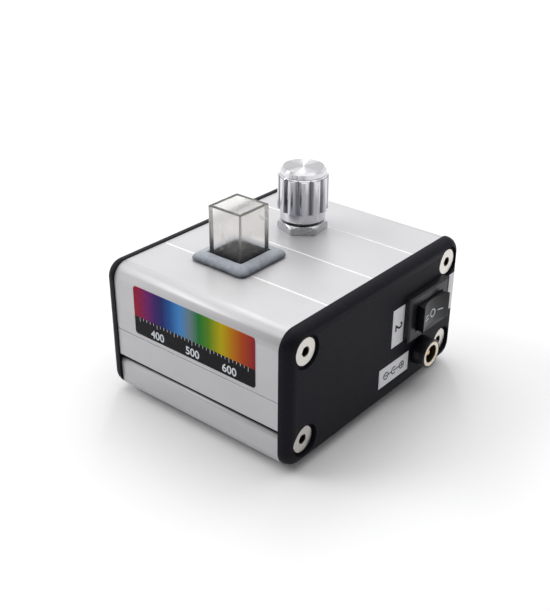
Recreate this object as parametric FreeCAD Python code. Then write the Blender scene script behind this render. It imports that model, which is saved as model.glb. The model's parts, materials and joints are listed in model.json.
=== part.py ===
import FreeCAD, Part
import math
import os

os.makedirs("parts", exist_ok=True)

V = FreeCAD.Vector
X_AXIS = V(1, 0, 0)
Y_AXIS = V(0, 1, 0)
Z_AXIS = V(0, 0, 1)

# Frame: millimetres, +Z up, z = 0 on the table under the feet.
# X runs along the extrusion, the label faces -Y, the switch and the jack face +X,
# the fibre port faces -X. The functions below measure x and y from the middle of the
# aluminium body; FRAME_SHIFT then moves all of it so that x = 0 is the middle of the whole unit.

# Aluminium body
BODY_LENGTH = 63.0
BODY_WIDTH = 84.0
BODY_HEIGHT = 42.0
FOOT_HEIGHT = 2.5
SHELL_WALL = 2.0
TOP_CORNER_RADIUS = 5.0
INNER_CORNER_RADIUS = 3.0
UPPER_EDGE_HEIGHT = 12.0
LOWER_SHELL_HEIGHT = 10.5
LOWER_SHELL_INSET = 0.4
LOWER_SHELL_WALL = 3.0
LOWER_TOP_RADIUS = 1.9
LOWER_BOTTOM_RADIUS = 3.0
TONGUE_THICKNESS = 2.0
TONGUE_HEIGHT = 15.6
TONGUE_GAP = 0.1
TONGUE_ROOT_HEIGHT = 6.0
RIB_THICKNESS = 1.6
RIB_DEPTH = 2.5
BOARD_SLOT = 1.8
GROOVE_SPACING = 21.0
GROOVE_WIDTH = 0.5
GROOVE_DEPTH = 0.12
SIDE_LINE_HEIGHT = 21.1
SIDE_LINE_WIDTH = 0.4
SIDE_LINE_DEPTH = 0.2

# End covers and their screws
COVER_THICKNESS = 4.0
COVER_OVERHANG = 0.4
COVER_CORNER_RADIUS = 5.4
COVER_EDGE_RADIUS = 3.5
SCREW_SIDE_INSET = 6.8
UPPER_SCREW_DROP = 6.5
LOWER_SCREW_HEIGHT = 7.2
UPPER_POCKET_DEPTH = 0.65
LOWER_POCKET_DEPTH = 1.05
POCKET_RADIUS = 5.0
SCREW_HEAD_RADIUS = 4.0
SCREW_RIM = 0.25
SCREW_RADIUS = 2.0
SCREW_LENGTH = 12.0
SCREW_HEX_FLATS = 2.5
SCREW_HEX_DEPTH = 2.0
SCREW_HEX_CHAMFER = 0.2
SCREW_TIP_CHAMFER = 0.4
COVER_HOLE_RADIUS = 2.25
THREAD_CLEARANCE = 0.03
CHANNEL_RADIUS = 4.0
CHANNEL_WEB = 4.0
CHANNEL_SLIT = 1.6

# Feet
FOOT_RADIUS = 4.5
FOOT_CHAMFER = 0.5
FOOT_INSET_X = 9.5
FOOT_INSET_Y = 11.0

# Cuvette, collar and holder
CUVETTE_X = -6.6
CUVETTE_Y = -14.6
CUVETTE_SIDE = 12.5
CUVETTE_WALL = 1.25
CUVETTE_HEIGHT = 45.0
CUVETTE_STAND = 17.0
CUVETTE_EDGE_RADIUS = 0.4
LIGHT_HEIGHT = 8.5
SLIDE_GAP = 0.07
COLLAR_SIDE = 20.9
COLLAR_HEIGHT = 2.65
COLLAR_CORNER_RADIUS = 2.0
COLLAR_ROUND = 1.2
TOP_OPENING_SIDE = 13.4
HOLDER_SIDE = 20.0
HOLDER_SCREW_RADIUS = 1.5
HOLDER_SCREW_HEAD = 2.8
HOLDER_SCREW_SPACING = 13.0
HOLDER_SCREW_LENGTH = 10.0
SPIGOT_DEPTH = 2.0

# Lamp side of the light path
LAMP_TUBE_RADIUS = 8.0
LAMP_TUBE_LENGTH = 10.0
LAMP_BORE_RADIUS = 4.4
LAMP_WINDOW_RADIUS = 4.0
SOURCE_LENS_RADIUS = 5.0
SOURCE_LENS_EDGE = 1.6
SOURCE_LENS_BULGE = 1.3
LAMP_BOARD_THICKNESS = 1.6
LAMP_BOARD_WIDTH = 18.0
LAMP_BOARD_HEIGHT = 22.0
LAMP_SIDE = 3.45
LAMP_BASE = 0.9
LAMP_DOME_RADIUS = 1.4
LAMP_OFFSET = 1.9
LAMP_SCREW_OFFSET = 6.3
LAMP_SCREW_RADIUS = 1.0
LAMP_SCREW_HEAD = 1.9
LAMP_SCREW_HEAD_HEIGHT = 1.2
LAMP_SCREW_DEPTH = 5.0

# Fibre side of the light path
LENS_TUBE_RADIUS = 7.0
LENS_TUBE_BORE = 3.0
FIBRE_WINDOW_RADIUS = 3.0
FIBRE_LENS_RADIUS = 4.0
FIBRE_LENS_EDGE = 1.4
FIBRE_LENS_BULGE = 0.9
PORT_RADIUS = 3.17
PORT_BORE_RADIUS = 1.6
PORT_FLANGE_RADIUS = 5.5
PORT_FLANGE_THICKNESS = 2.4
PORT_LENGTH_OUTSIDE = 10.0
PORT_CHAMFER = 0.4
PORT_HOLE_RADIUS = 3.3
PORT_WASHER_RADIUS = 5.0
PORT_WASHER_THICKNESS = 0.6
PORT_NUT_FLATS = 8.0
PORT_NUT_THICKNESS = 2.2

# Level control and its knob
CONTROL_X = -6.6
CONTROL_Y = 15.4
CONTROL_RADIUS = 12.0
CONTROL_DEPTH = 10.4
CONTROL_WALL = 1.0
CONTROL_WASHER_RADIUS = 7.5
CONTROL_WASHER_THICKNESS = 0.6
BUSHING_RADIUS = 4.72
BUSHING_TOP = 3.3
BUSHING_HOLE_RADIUS = 4.85
NUT_FLATS = 14.0
NUT_THICKNESS = 2.9
NUT_CHAMFER = 0.95
NUT_TURN = -49.0
SHAFT_RADIUS = 3.0
SHAFT_GAP = 0.05
SHAFT_LENGTH_ABOVE = 17.6
WIPER_RADIUS = 8.5
WIPER_THICKNESS = 1.6
WAFER_THICKNESS = 1.2
WAFER_TAIL_WIDTH = 14.0
WAFER_TAIL_REACH = 13.0
LUG_SPACING = 5.0
LUG_WIDTH = 2.0
LUG_THICKNESS = 0.5
LUG_REACH = 15.2
KNOB_BOTTOM = 3.7
KNOB_TOP = 20.4
KNOB_RADIUS = 7.1
KNOB_TOP_CHAMFER = 0.7
KNOB_BAND_BOTTOM = 6.9
KNOB_BAND_TOP = 18.3
KNOB_BAND_CHAMFER = 0.7
LOBE_COUNT = 12
LOBE_CIRCLE = 5.6
LOBE_RADIUS = 2.4
INSERT_RADIUS = 4.6
INSERT_TOP = 18.4

# Rocker switch
SWITCH_SIDE_INSET = 19.8
SWITCH_HEIGHT = 24.8
BEZEL_LENGTH = 21.0
BEZEL_WIDTH = 14.8
BEZEL_THICKNESS = 2.2
BEZEL_CHAMFER = 0.5
SWITCH_BODY_LENGTH = 19.0
SWITCH_BODY_WIDTH = 12.6
SWITCH_BODY_DEPTH = 15.0
SWITCH_CUTOUT_GAP = 0.1
SWITCH_WELL_LENGTH = 14.6
SWITCH_WELL_WIDTH = 9.0
SWITCH_BASE = 6.5
CLIP_REACH = 0.8
CLIP_WIDTH = 6.0
CLIP_LENGTH = 2.5
ROCKER_WIDTH = 8.4
ROCKER_HALF_LENGTH = 7.05
ROCKER_HALF_WAIST = 6.3
ROCKER_HALF_FOOT = 4.4
ROCKER_END_RISE = 4.9
ROCKER_MIDDLE_RISE = 3.0
ROCKER_FOOT_DEPTH = 5.6
PIVOT_DEPTH = 2.5
PIVOT_RADIUS = 1.2
PIVOT_GAP = 0.05
PIVOT_REACH = 5.6
BLADE_SPACING = 6.5
BLADE_WIDTH = 4.8
BLADE_THICKNESS = 0.8
BLADE_REACH = 7.0
BLADE_CONTACT = 1.0
BLADE_HOLE_RADIUS = 0.8

# Power jack
JACK_SIDE_INSET = 20.3
JACK_HEIGHT = 10.4
JACK_BARREL_RADIUS = 4.7
JACK_BARREL_LENGTH = 4.7
JACK_BARREL_CHAMFER = 0.3
JACK_THREAD_RADIUS = 3.95
JACK_HOLE_GAP = 0.1
JACK_DEPTH = 13.5
JACK_SOCKET_RADIUS = 2.95
JACK_SOCKET_DEPTH = 10.0
JACK_RING_RADIUS = 4.1
JACK_RING_LIP = 0.8
JACK_SLEEVE_WALL = 0.35
JACK_PIN_RADIUS = 1.05
JACK_PIN_RECESS = 1.0
JACK_NUT_FLATS = 11.0
JACK_NUT_THICKNESS = 2.0
JACK_LUG_SPACING = 4.4
JACK_LUG_WIDTH = 1.8
JACK_LUG_THICKNESS = 0.5
JACK_LUG_LENGTH = 3.5

# Driver board
BOARD_COVER_GAP = 3.5
BOARD_JACK_GAP = 2.5
BOARD_HOLDER_GAP = 4.6
BOARD_CHANNEL_GAP = 1.2
BOARD_THICKNESS = 1.6
POST_HEIGHT = 3.6
POST_RADIUS = 2.5
POST_HOLE_RADIUS = 1.27
POST_INSET = 2.7
BOARD_HOLE_RADIUS = 1.4
BOARD_SCREW_RADIUS = 1.25
BOARD_SCREW_HEAD = 2.2
BOARD_SCREW_HEAD_HEIGHT = 1.5
CHIP_INSET_X = 16.0
CHIP_INSET_Y = 6.0
CHIP_LENGTH = 5.0
CHIP_WIDTH = 4.0
CHIP_HEIGHT = 1.6
INDUCTOR_INSET_X = 9.2
INDUCTOR_INSET_Y = 4.5
INDUCTOR_SIDE = 7.3
INDUCTOR_HEIGHT = 4.0
INDUCTOR_CORNER = 1.2
CAN_RADIUS = 3.15
CAN_HEIGHT = 7.7
CAN_EDGE = 0.5
CAN_SOCKET_GAP = 0.3
CAN_INSETS_X = (5.0, 12.0)

# Sockets on the board and the leads that end in them
CONNECTOR_HEIGHT = 6.0
CONNECTOR_WIDTH = 5.0
CONTROL_SOCKET_INSET = 4.0
CONTROL_SOCKET_LENGTH = 13.0
SWITCH_SOCKET_INSET = 8.0
SWITCH_SOCKET_LENGTH = 15.4
POWER_SOCKET_REACH = 5.5
POWER_SOCKET_INSET = 9.0
POWER_SOCKET_WIDTH = 4.5
POWER_SOCKET_LENGTH = 6.0
LAMP_SOCKET_REACH = 6.4
LAMP_SOCKET_INSET = 3.1
LAMP_SOCKET_LENGTH = 5.6
LEAD_RADIUS = 0.6
JACK_NEAR_REACH = 1.7
JACK_NEAR_OFFSET = 1.0
JACK_NEAR_BEND = 1.2
JACK_FAR_BEND = 3.0
SWITCH_LEAD_START = 1.5
CONTROL_DROP_REACH = 1.6
CONTROL_RUN_RISE = 3.3
CONTROL_BEND = 1.2
LAMP_LEAD_DROP = 2.0
LAMP_LEAD_PITCH = 1.6
LAMP_LEAD_OFFSET = 6.1
LAMP_LEAD_REACH = 3.5
LAMP_BEND = 1.5

# Print
LABEL_WIDTH = 46.6
LABEL_DROP = 3.9
LABEL_HEIGHT = 15.6
LABEL_THICKNESS = 0.15
LABEL_CORNER_RADIUS = 0.9
STICKER_THICKNESS = 0.1
STICKER_SHORT = 6.1
STICKER_LONG = 12.7
STICKER_LOWER = 17.8
LEFT_STICKER_GAP = 0.1
EDGE_STICKER_FLAT = 2.1
JACK_STICKER_GAP = 1.4
JACK_STICKER_LENGTH = 15.7
JACK_STICKER_LOWER = 6.1
JACK_STICKER_HEIGHT = 6.5

# Values that follow from the sizes above
HALF_LENGTH = BODY_LENGTH / 2
HALF_WIDTH = BODY_WIDTH / 2
BASE = FOOT_HEIGHT
TOP = BASE + BODY_HEIGHT
CEILING = TOP - SHELL_WALL
FLOOR = BASE + SHELL_WALL
SCREW_Y = HALF_WIDTH - SCREW_SIDE_INSET
COVER_FACE = HALF_LENGTH + COVER_THICKNESS
CUVETTE_TOP = TOP + CUVETTE_STAND
CUVETTE_BOTTOM = CUVETTE_TOP - CUVETTE_HEIGHT
LIGHT_Z = CUVETTE_BOTTOM + LIGHT_HEIGHT
HOLDER_RIGHT = CUVETTE_X + HOLDER_SIDE / 2
HOLDER_LEFT = CUVETTE_X - HOLDER_SIDE / 2
WELL_SIDE = CUVETTE_SIDE + 2 * SLIDE_GAP
LAMP_FACE = HOLDER_RIGHT - SPIGOT_DEPTH + LAMP_TUBE_LENGTH
SWITCH_Y = HALF_WIDTH - SWITCH_SIDE_INSET
SWITCH_Z = BASE + SWITCH_HEIGHT
BLADE_END = COVER_FACE - SWITCH_BODY_DEPTH - BLADE_REACH
JACK_Y = HALF_WIDTH - JACK_SIDE_INSET
JACK_Z = BASE + JACK_HEIGHT
JACK_REAR = COVER_FACE - JACK_DEPTH - JACK_LUG_LENGTH
PIVOT_X = COVER_FACE - PIVOT_DEPTH
BOARD_BOTTOM = FLOOR + POST_HEIGHT
BOARD_TOP = BOARD_BOTTOM + BOARD_THICKNESS
BOARD_LEFT = -HALF_LENGTH + BOARD_COVER_GAP
BOARD_RIGHT = JACK_REAR - BOARD_JACK_GAP
BOARD_FRONT = CUVETTE_Y + HOLDER_SIDE / 2 + BOARD_HOLDER_GAP
BOARD_BACK = SCREW_Y - CHANNEL_RADIUS - BOARD_CHANNEL_GAP
CONNECTOR_TOP = BOARD_TOP + CONNECTOR_HEIGHT
CONTROL_TOP = CEILING - CONTROL_WASHER_THICKNESS
CONTROL_BOTTOM = CONTROL_TOP - CONTROL_DEPTH
LUG_Z = CONTROL_BOTTOM + WAFER_THICKNESS / 2
CONTROL_SOCKET_Y = BOARD_BACK - CONTROL_SOCKET_INSET
SWITCH_SOCKET_X = BOARD_RIGHT - SWITCH_SOCKET_INSET
POWER_SOCKET_X = JACK_REAR - POWER_SOCKET_REACH
POWER_SOCKET_Y = BOARD_FRONT + POWER_SOCKET_INSET
LAMP_SOCKET_X = LAMP_FACE - LAMP_SOCKET_REACH
LAMP_SOCKET_Y = BOARD_FRONT + LAMP_SOCKET_INSET
CAN_Y = CONTROL_SOCKET_Y - CONNECTOR_WIDTH / 2 - CAN_SOCKET_GAP - CAN_RADIUS
FRAME_SHIFT = (PORT_LENGTH_OUTSIDE - ROCKER_END_RISE) / 2
OVERCUT = 1.0


def block(x0, x1, y0, y1, z0, z1):
    return Part.makeBox(x1 - x0, y1 - y0, z1 - z0, V(x0, y0, z0))


def rod_x(radius, x0, x1, y, z):
    return Part.makeCylinder(radius, x1 - x0, V(x0, y, z), X_AXIS)


def rod_z(radius, x, y, z0, z1):
    return Part.makeCylinder(radius, z1 - z0, V(x, y, z0), Z_AXIS)


def cone_x(radius0, radius1, x0, x1, y, z):
    """Cone along X, radius0 at x0 and radius1 at x1."""
    direction = X_AXIS if x1 > x0 else -X_AXIS
    return Part.makeCone(radius0, radius1, abs(x1 - x0), V(x0, y, z), direction)


def hexagon_z(flats, x, y, z0, z1, turn=0.0):
    """Hexagonal prism standing on z0, with one flat facing the angle turn, in degrees from +X."""
    corner = flats / 2 / math.cos(math.pi / 6)
    angles = [math.radians(turn + 30 + 60 * i) for i in range(7)]
    points = [V(x + corner * math.cos(a), y + corner * math.sin(a), z0) for a in angles]
    return Part.Face(Part.makePolygon(points)).extrude(V(0, 0, z1 - z0))


def hexagon_x(flats, x0, x1, y, z):
    prism = hexagon_z(flats, 0, 0, 0, x1 - x0)
    prism.rotate(V(0, 0, 0), Y_AXIS, 90)
    prism.translate(V(x0, y, z))
    return prism


def fuse_all(shapes):
    whole = shapes[0]
    for shape in shapes[1:]:
        whole = whole.fuse(shape)
    return whole.removeSplitter()


def runs_along(edge, axis):
    """True for a straight edge parallel to the axis."""
    if not isinstance(edge.Curve, Part.Line) and not isinstance(edge.Curve, Part.LineSegment):
        return False
    direction = edge.tangentAt(edge.FirstParameter)
    return abs(abs(direction.dot(axis)) - 1) < 1e-6


def fillet_where(shape, radius, test):
    return shape.makeFillet(radius, [e for e in shape.Edges if test(e)])


def chamfer_where(shape, size, test):
    return shape.makeChamfer(size, [e for e in shape.Edges if test(e)])


def edge_at(edge, axis, value):
    """True when every point of the edge has this coordinate along the axis."""
    box = edge.BoundBox
    low = {"x": box.XMin, "y": box.YMin, "z": box.ZMin}[axis]
    high = {"x": box.XMax, "y": box.YMax, "z": box.ZMax}[axis]
    return abs(low - value) < 1e-4 and abs(high - value) < 1e-4


def lead(points, bend):
    """Round lead through the points, with a tangent arc of radius bend at each corner."""
    edges = []
    start = points[0]
    for before, corner, after in zip(points, points[1:], points[2:]):
        into = (corner - before).normalize()
        out = (after - corner).normalize()
        half_turn = into.getAngle(out) / 2
        reach = bend * math.tan(half_turn)
        arc_start = corner - into * reach
        arc_end = corner + out * reach
        inward = (out - into).normalize()
        middle = corner + inward * (bend / math.cos(half_turn) - bend)
        edges.append(Part.LineSegment(start, arc_start).toShape())
        edges.append(Part.Arc(arc_start, middle, arc_end).toShape())
        start = arc_end
    edges.append(Part.LineSegment(start, points[-1]).toShape())
    first = (points[1] - points[0]).normalize()
    ring = Part.Wire(Part.makeCircle(LEAD_RADIUS, points[0], first))
    return Part.Wire(edges).makePipeShell([ring], True, False)


def screw_places():
    """Y, z and pocket depth of the four screws of one end cover."""
    upper = TOP - UPPER_SCREW_DROP
    lower = BASE + LOWER_SCREW_HEIGHT
    return [
        (-SCREW_Y, upper, UPPER_POCKET_DEPTH),
        (SCREW_Y, upper, UPPER_POCKET_DEPTH),
        (-SCREW_Y, lower, LOWER_POCKET_DEPTH),
        (SCREW_Y, lower, LOWER_POCKET_DEPTH),
    ]


def screw_channel(y, z, wall_y, level):
    """Solid boss for one cover screw, joined to the side wall and to the top or the floor."""
    boss = rod_x(CHANNEL_RADIUS, -HALF_LENGTH, HALF_LENGTH, y, z)
    low_y, high_y = sorted([y, wall_y])
    low_z, high_z = sorted([z, level])
    half = CHANNEL_WEB / 2
    side = block(-HALF_LENGTH, HALF_LENGTH, low_y, high_y, z - half, z + half)
    flat = block(-HALF_LENGTH, HALF_LENGTH, y - half, y + half, low_z, high_z)
    return fuse_all([boss, side, flat])


def channel_bore(y, z, slit_end):
    """Space for the screws: the thread bore and the slit of the open channel."""
    low_z, high_z = sorted([z, slit_end])
    bore = rod_x(SCREW_RADIUS + THREAD_CLEARANCE, -HALF_LENGTH - OVERCUT, HALF_LENGTH + OVERCUT, y, z)
    slit = block(-HALF_LENGTH - OVERCUT, HALF_LENGTH + OVERCUT,
                 y - CHANNEL_SLIT / 2, y + CHANNEL_SLIT / 2, low_z, high_z)
    return bore.fuse(slit)


def top_shell():
    """Upper half of the body: a wide U with grooves on top, ribs inside and two screw channels."""
    edge = BASE + UPPER_EDGE_HEIGHT
    outer = block(-HALF_LENGTH, HALF_LENGTH, -HALF_WIDTH, HALF_WIDTH, edge, TOP)
    outer = fillet_where(outer, TOP_CORNER_RADIUS, lambda e: runs_along(e, X_AXIS) and edge_at(e, "z", TOP))
    inside = HALF_WIDTH - SHELL_WALL
    hollow = block(-HALF_LENGTH - OVERCUT, HALF_LENGTH + OVERCUT, -inside, inside, edge - OVERCUT, CEILING)
    hollow = fillet_where(hollow, INNER_CORNER_RADIUS,
                          lambda e: runs_along(e, X_AXIS) and edge_at(e, "z", CEILING))
    shell = outer.cut(hollow)
    rest = BASE + TONGUE_HEIGHT
    screw_z = TOP - UPPER_SCREW_DROP
    for side in (-1, 1):
        wall_y = side * (inside + SHELL_WALL / 2)
        for low in (rest, rest + RIB_THICKNESS + BOARD_SLOT):
            y0, y1 = sorted([side * (inside - RIB_DEPTH), wall_y])
            shell = shell.fuse(block(-HALF_LENGTH, HALF_LENGTH, y0, y1, low, low + RIB_THICKNESS))
        shell = shell.fuse(screw_channel(side * SCREW_Y, screw_z, wall_y, TOP - SHELL_WALL / 2))
    for side in (-1, 1):
        shell = shell.cut(channel_bore(side * SCREW_Y, screw_z, screw_z - CHANNEL_RADIUS - OVERCUT))
        line_z = BASE + SIDE_LINE_HEIGHT
        y0, y1 = sorted([side * (HALF_WIDTH - SIDE_LINE_DEPTH), side * (HALF_WIDTH + OVERCUT)])
        shell = shell.cut(block(-HALF_LENGTH - OVERCUT, HALF_LENGTH + OVERCUT, y0, y1,
                                line_z - SIDE_LINE_WIDTH / 2, line_z + SIDE_LINE_WIDTH / 2))
    for y in (-GROOVE_SPACING, 0.0, GROOVE_SPACING):
        shell = shell.cut(block(-HALF_LENGTH - OVERCUT, HALF_LENGTH + OVERCUT,
                                y - GROOVE_WIDTH / 2, y + GROOVE_WIDTH / 2,
                                TOP - GROOVE_DEPTH, TOP + OVERCUT))
    half = TOP_OPENING_SIDE / 2
    shell = shell.cut(block(CUVETTE_X - half, CUVETTE_X + half, CUVETTE_Y - half, CUVETTE_Y + half,
                            CEILING - OVERCUT, TOP + OVERCUT))
    shell = shell.cut(rod_z(BUSHING_HOLE_RADIUS, CONTROL_X, CONTROL_Y, CEILING - OVERCUT, TOP + OVERCUT))
    return shell.removeSplitter()


def holder_screw_places():
    half = HOLDER_SCREW_SPACING / 2
    return [(CUVETTE_X, CUVETTE_Y - half), (CUVETTE_X, CUVETTE_Y + half)]


def board_post_places():
    places_x = (BOARD_LEFT + POST_INSET, BOARD_RIGHT - POST_INSET)
    places_y = (BOARD_FRONT + POST_INSET, BOARD_BACK - POST_INSET)
    return [(x, y) for x in places_x for y in places_y]


def bottom_shell():
    """Lower half of the body: a tray whose tongues stand inside the upper half."""
    outside = HALF_WIDTH - LOWER_SHELL_INSET
    shoulder = BASE + LOWER_SHELL_HEIGHT
    tray = block(-HALF_LENGTH, HALF_LENGTH, -outside, outside, BASE, shoulder)
    tray = fillet_where(tray, LOWER_BOTTOM_RADIUS, lambda e: runs_along(e, X_AXIS) and edge_at(e, "z", BASE))
    tray = fillet_where(tray, LOWER_TOP_RADIUS, lambda e: runs_along(e, X_AXIS) and edge_at(e, "z", shoulder))
    inside = outside - LOWER_SHELL_WALL
    hollow = block(-HALF_LENGTH - OVERCUT, HALF_LENGTH + OVERCUT, -inside, inside, FLOOR, shoulder + OVERCUT)
    tray = tray.cut(hollow)
    tongue_out = HALF_WIDTH - SHELL_WALL - TONGUE_GAP
    screw_z = BASE + LOWER_SCREW_HEIGHT
    for side in (-1, 1):
        y0, y1 = sorted([side * (tongue_out - TONGUE_THICKNESS), side * tongue_out])
        tray = tray.fuse(block(-HALF_LENGTH, HALF_LENGTH, y0, y1,
                               BASE + TONGUE_ROOT_HEIGHT, BASE + TONGUE_HEIGHT))
        wall_y = side * (outside - LOWER_SHELL_WALL / 2)
        tray = tray.fuse(screw_channel(side * SCREW_Y, screw_z, wall_y, BASE + SHELL_WALL / 2))
    for side in (-1, 1):
        tray = tray.cut(channel_bore(side * SCREW_Y, screw_z, screw_z + CHANNEL_RADIUS + OVERCUT))
    cone_height = HOLDER_SCREW_HEAD - HOLDER_SCREW_RADIUS
    for x, y in holder_screw_places():
        place = V(x, y, BASE)
        tray = tray.cut(Part.makeCone(HOLDER_SCREW_HEAD, HOLDER_SCREW_RADIUS, cone_height, place, Z_AXIS))
        tray = tray.cut(rod_z(HOLDER_SCREW_RADIUS + THREAD_CLEARANCE, x, y, BASE, FLOOR + OVERCUT))
    return tray.removeSplitter()


def cover_blank(side):
    """Plate with rounded corners and a full round over its outer edge."""
    reach_y = HALF_WIDTH + COVER_OVERHANG
    x0, x1 = sorted([side * HALF_LENGTH, side * COVER_FACE])
    plate = block(x0, x1, -reach_y, reach_y, BASE - COVER_OVERHANG, TOP + COVER_OVERHANG)
    plate = fillet_where(plate, COVER_CORNER_RADIUS, lambda e: runs_along(e, X_AXIS))
    return fillet_where(plate, COVER_EDGE_RADIUS, lambda e: edge_at(e, "x", side * COVER_FACE))


def screw_pocket(side, y, z, depth):
    """Space for one countersunk screw: round pocket, cone and through hole."""
    face = side * COVER_FACE
    seat = face - side * (depth + SCREW_RIM)
    x0, x1 = sorted([face + side * OVERCUT, seat])
    pocket = rod_x(POCKET_RADIUS, x0, x1, y, z)
    neck = seat - side * (SCREW_HEAD_RADIUS - SCREW_RADIUS)
    cone = cone_x(SCREW_HEAD_RADIUS, SCREW_RADIUS, seat, neck, y, z)
    x0, x1 = sorted([side * (HALF_LENGTH - OVERCUT), seat])
    return fuse_all([pocket, cone, rod_x(COVER_HOLE_RADIUS, x0, x1, y, z)])


def switch_end_cover():
    """Right cover: cut-out for the switch and a round hole for the jack."""
    cover = cover_blank(1)
    for y, z, depth in screw_places():
        cover = cover.cut(screw_pocket(1, y, z, depth))
    half_y = SWITCH_BODY_LENGTH / 2 + SWITCH_CUTOUT_GAP
    half_z = SWITCH_BODY_WIDTH / 2 + SWITCH_CUTOUT_GAP
    cover = cover.cut(block(HALF_LENGTH - OVERCUT, COVER_FACE + OVERCUT, SWITCH_Y - half_y, SWITCH_Y + half_y,
                            SWITCH_Z - half_z, SWITCH_Z + half_z))
    return cover.cut(rod_x(JACK_THREAD_RADIUS + JACK_HOLE_GAP, HALF_LENGTH - OVERCUT, COVER_FACE + OVERCUT,
                           JACK_Y, JACK_Z))


def fibre_end_cover():
    """Left cover: one round hole for the fibre port."""
    cover = cover_blank(-1)
    for y, z, depth in screw_places():
        cover = cover.cut(screw_pocket(-1, y, z, depth))
    return cover.cut(rod_x(PORT_HOLE_RADIUS, -COVER_FACE - OVERCUT, -HALF_LENGTH + OVERCUT,
                           CUVETTE_Y, LIGHT_Z))


def cover_screw(side, y, z, depth):
    """Countersunk screw with a hexagonal socket."""
    head = side * (COVER_FACE - depth)
    seat = head - side * SCREW_RIM
    neck = seat - side * (SCREW_HEAD_RADIUS - SCREW_RADIUS)
    tip = head - side * SCREW_LENGTH
    x0, x1 = sorted([head, seat])
    rim = rod_x(SCREW_HEAD_RADIUS, x0, x1, y, z)
    cone = cone_x(SCREW_HEAD_RADIUS, SCREW_RADIUS, seat, neck, y, z)
    x0, x1 = sorted([neck, tip])
    shank = rod_x(SCREW_RADIUS, x0, x1, y, z)
    shank = chamfer_where(shank, SCREW_TIP_CHAMFER, lambda e: edge_at(e, "x", tip))
    x0, x1 = sorted([head + side * OVERCUT, head - side * SCREW_HEX_DEPTH])
    screw = fuse_all([rim, cone, shank]).cut(hexagon_x(SCREW_HEX_FLATS, x0, x1, y, z))
    return chamfer_where(screw, SCREW_HEX_CHAMFER,
                         lambda e: edge_at(e, "x", head) and e.Length < SCREW_HEX_FLATS)


def cover_screws(side):
    return Part.makeCompound([cover_screw(side, y, z, depth) for y, z, depth in screw_places()])


def rubber_feet():
    feet = []
    foot_x = HALF_LENGTH - FOOT_INSET_X
    foot_y = HALF_WIDTH - FOOT_INSET_Y
    for x in (-foot_x, foot_x):
        for y in (-foot_y, foot_y):
            foot = rod_z(FOOT_RADIUS, x, y, 0, FOOT_HEIGHT)
            feet.append(chamfer_where(foot, FOOT_CHAMFER, lambda e: edge_at(e, "z", 0)))
    return Part.makeCompound(feet)


def square_prism(side, z0, z1):
    half = side / 2
    return block(CUVETTE_X - half, CUVETTE_X + half, CUVETTE_Y - half, CUVETTE_Y + half, z0, z1)


def cuvette():
    """Square cell, open at the top."""
    outer = square_prism(CUVETTE_SIDE, CUVETTE_BOTTOM, CUVETTE_TOP)
    outer = fillet_where(outer, CUVETTE_EDGE_RADIUS, lambda e: runs_along(e, Z_AXIS))
    inner = square_prism(CUVETTE_SIDE - 2 * CUVETTE_WALL, CUVETTE_BOTTOM + CUVETTE_WALL,
                         CUVETTE_TOP + OVERCUT)
    return outer.cut(inner)


def cuvette_collar():
    """Soft square ring that lies on the top and hugs the cuvette."""
    top = TOP + COLLAR_HEIGHT
    ring = square_prism(COLLAR_SIDE, TOP, top)
    ring = fillet_where(ring, COLLAR_CORNER_RADIUS, lambda e: runs_along(e, Z_AXIS))
    ring = ring.cut(square_prism(WELL_SIDE, TOP - OVERCUT, top + OVERCUT))
    return fillet_where(ring, COLLAR_ROUND, lambda e: edge_at(e, "z", top))


def cuvette_holder():
    """Dark block between floor and ceiling, with the cuvette's well and the light path through it."""
    body = square_prism(HOLDER_SIDE, FLOOR, CEILING)
    body = body.cut(square_prism(WELL_SIDE, CUVETTE_BOTTOM, CEILING + OVERCUT))
    lamp_seat = HOLDER_RIGHT - SPIGOT_DEPTH
    fibre_seat = HOLDER_LEFT + SPIGOT_DEPTH
    body = body.cut(rod_x(LAMP_TUBE_RADIUS, lamp_seat, HOLDER_RIGHT + OVERCUT, CUVETTE_Y, LIGHT_Z))
    body = body.cut(rod_x(LAMP_WINDOW_RADIUS, CUVETTE_X, lamp_seat, CUVETTE_Y, LIGHT_Z))
    body = body.cut(rod_x(LENS_TUBE_RADIUS, HOLDER_LEFT - OVERCUT, fibre_seat, CUVETTE_Y, LIGHT_Z))
    body = body.cut(rod_x(FIBRE_WINDOW_RADIUS, fibre_seat, CUVETTE_X, CUVETTE_Y, LIGHT_Z))
    for x, y in holder_screw_places():
        body = body.cut(rod_z(HOLDER_SCREW_RADIUS + THREAD_CLEARANCE, x, y,
                              FLOOR - OVERCUT, BASE + HOLDER_SCREW_LENGTH))
    return body


def holder_screws():
    """Two small countersunk screws from below through the floor into the holder."""
    cone_height = HOLDER_SCREW_HEAD - HOLDER_SCREW_RADIUS
    screws = []
    for x, y in holder_screw_places():
        cone = Part.makeCone(HOLDER_SCREW_HEAD, HOLDER_SCREW_RADIUS, cone_height, V(x, y, BASE), Z_AXIS)
        shank = rod_z(HOLDER_SCREW_RADIUS, x, y, BASE + cone_height, BASE + HOLDER_SCREW_LENGTH)
        socket = hexagon_z(HOLDER_SCREW_RADIUS * 4 / 3, x, y, BASE - OVERCUT, BASE + HOLDER_SCREW_RADIUS)
        screws.append(fuse_all([cone, shank]).cut(socket))
    return Part.makeCompound(screws)


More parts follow.
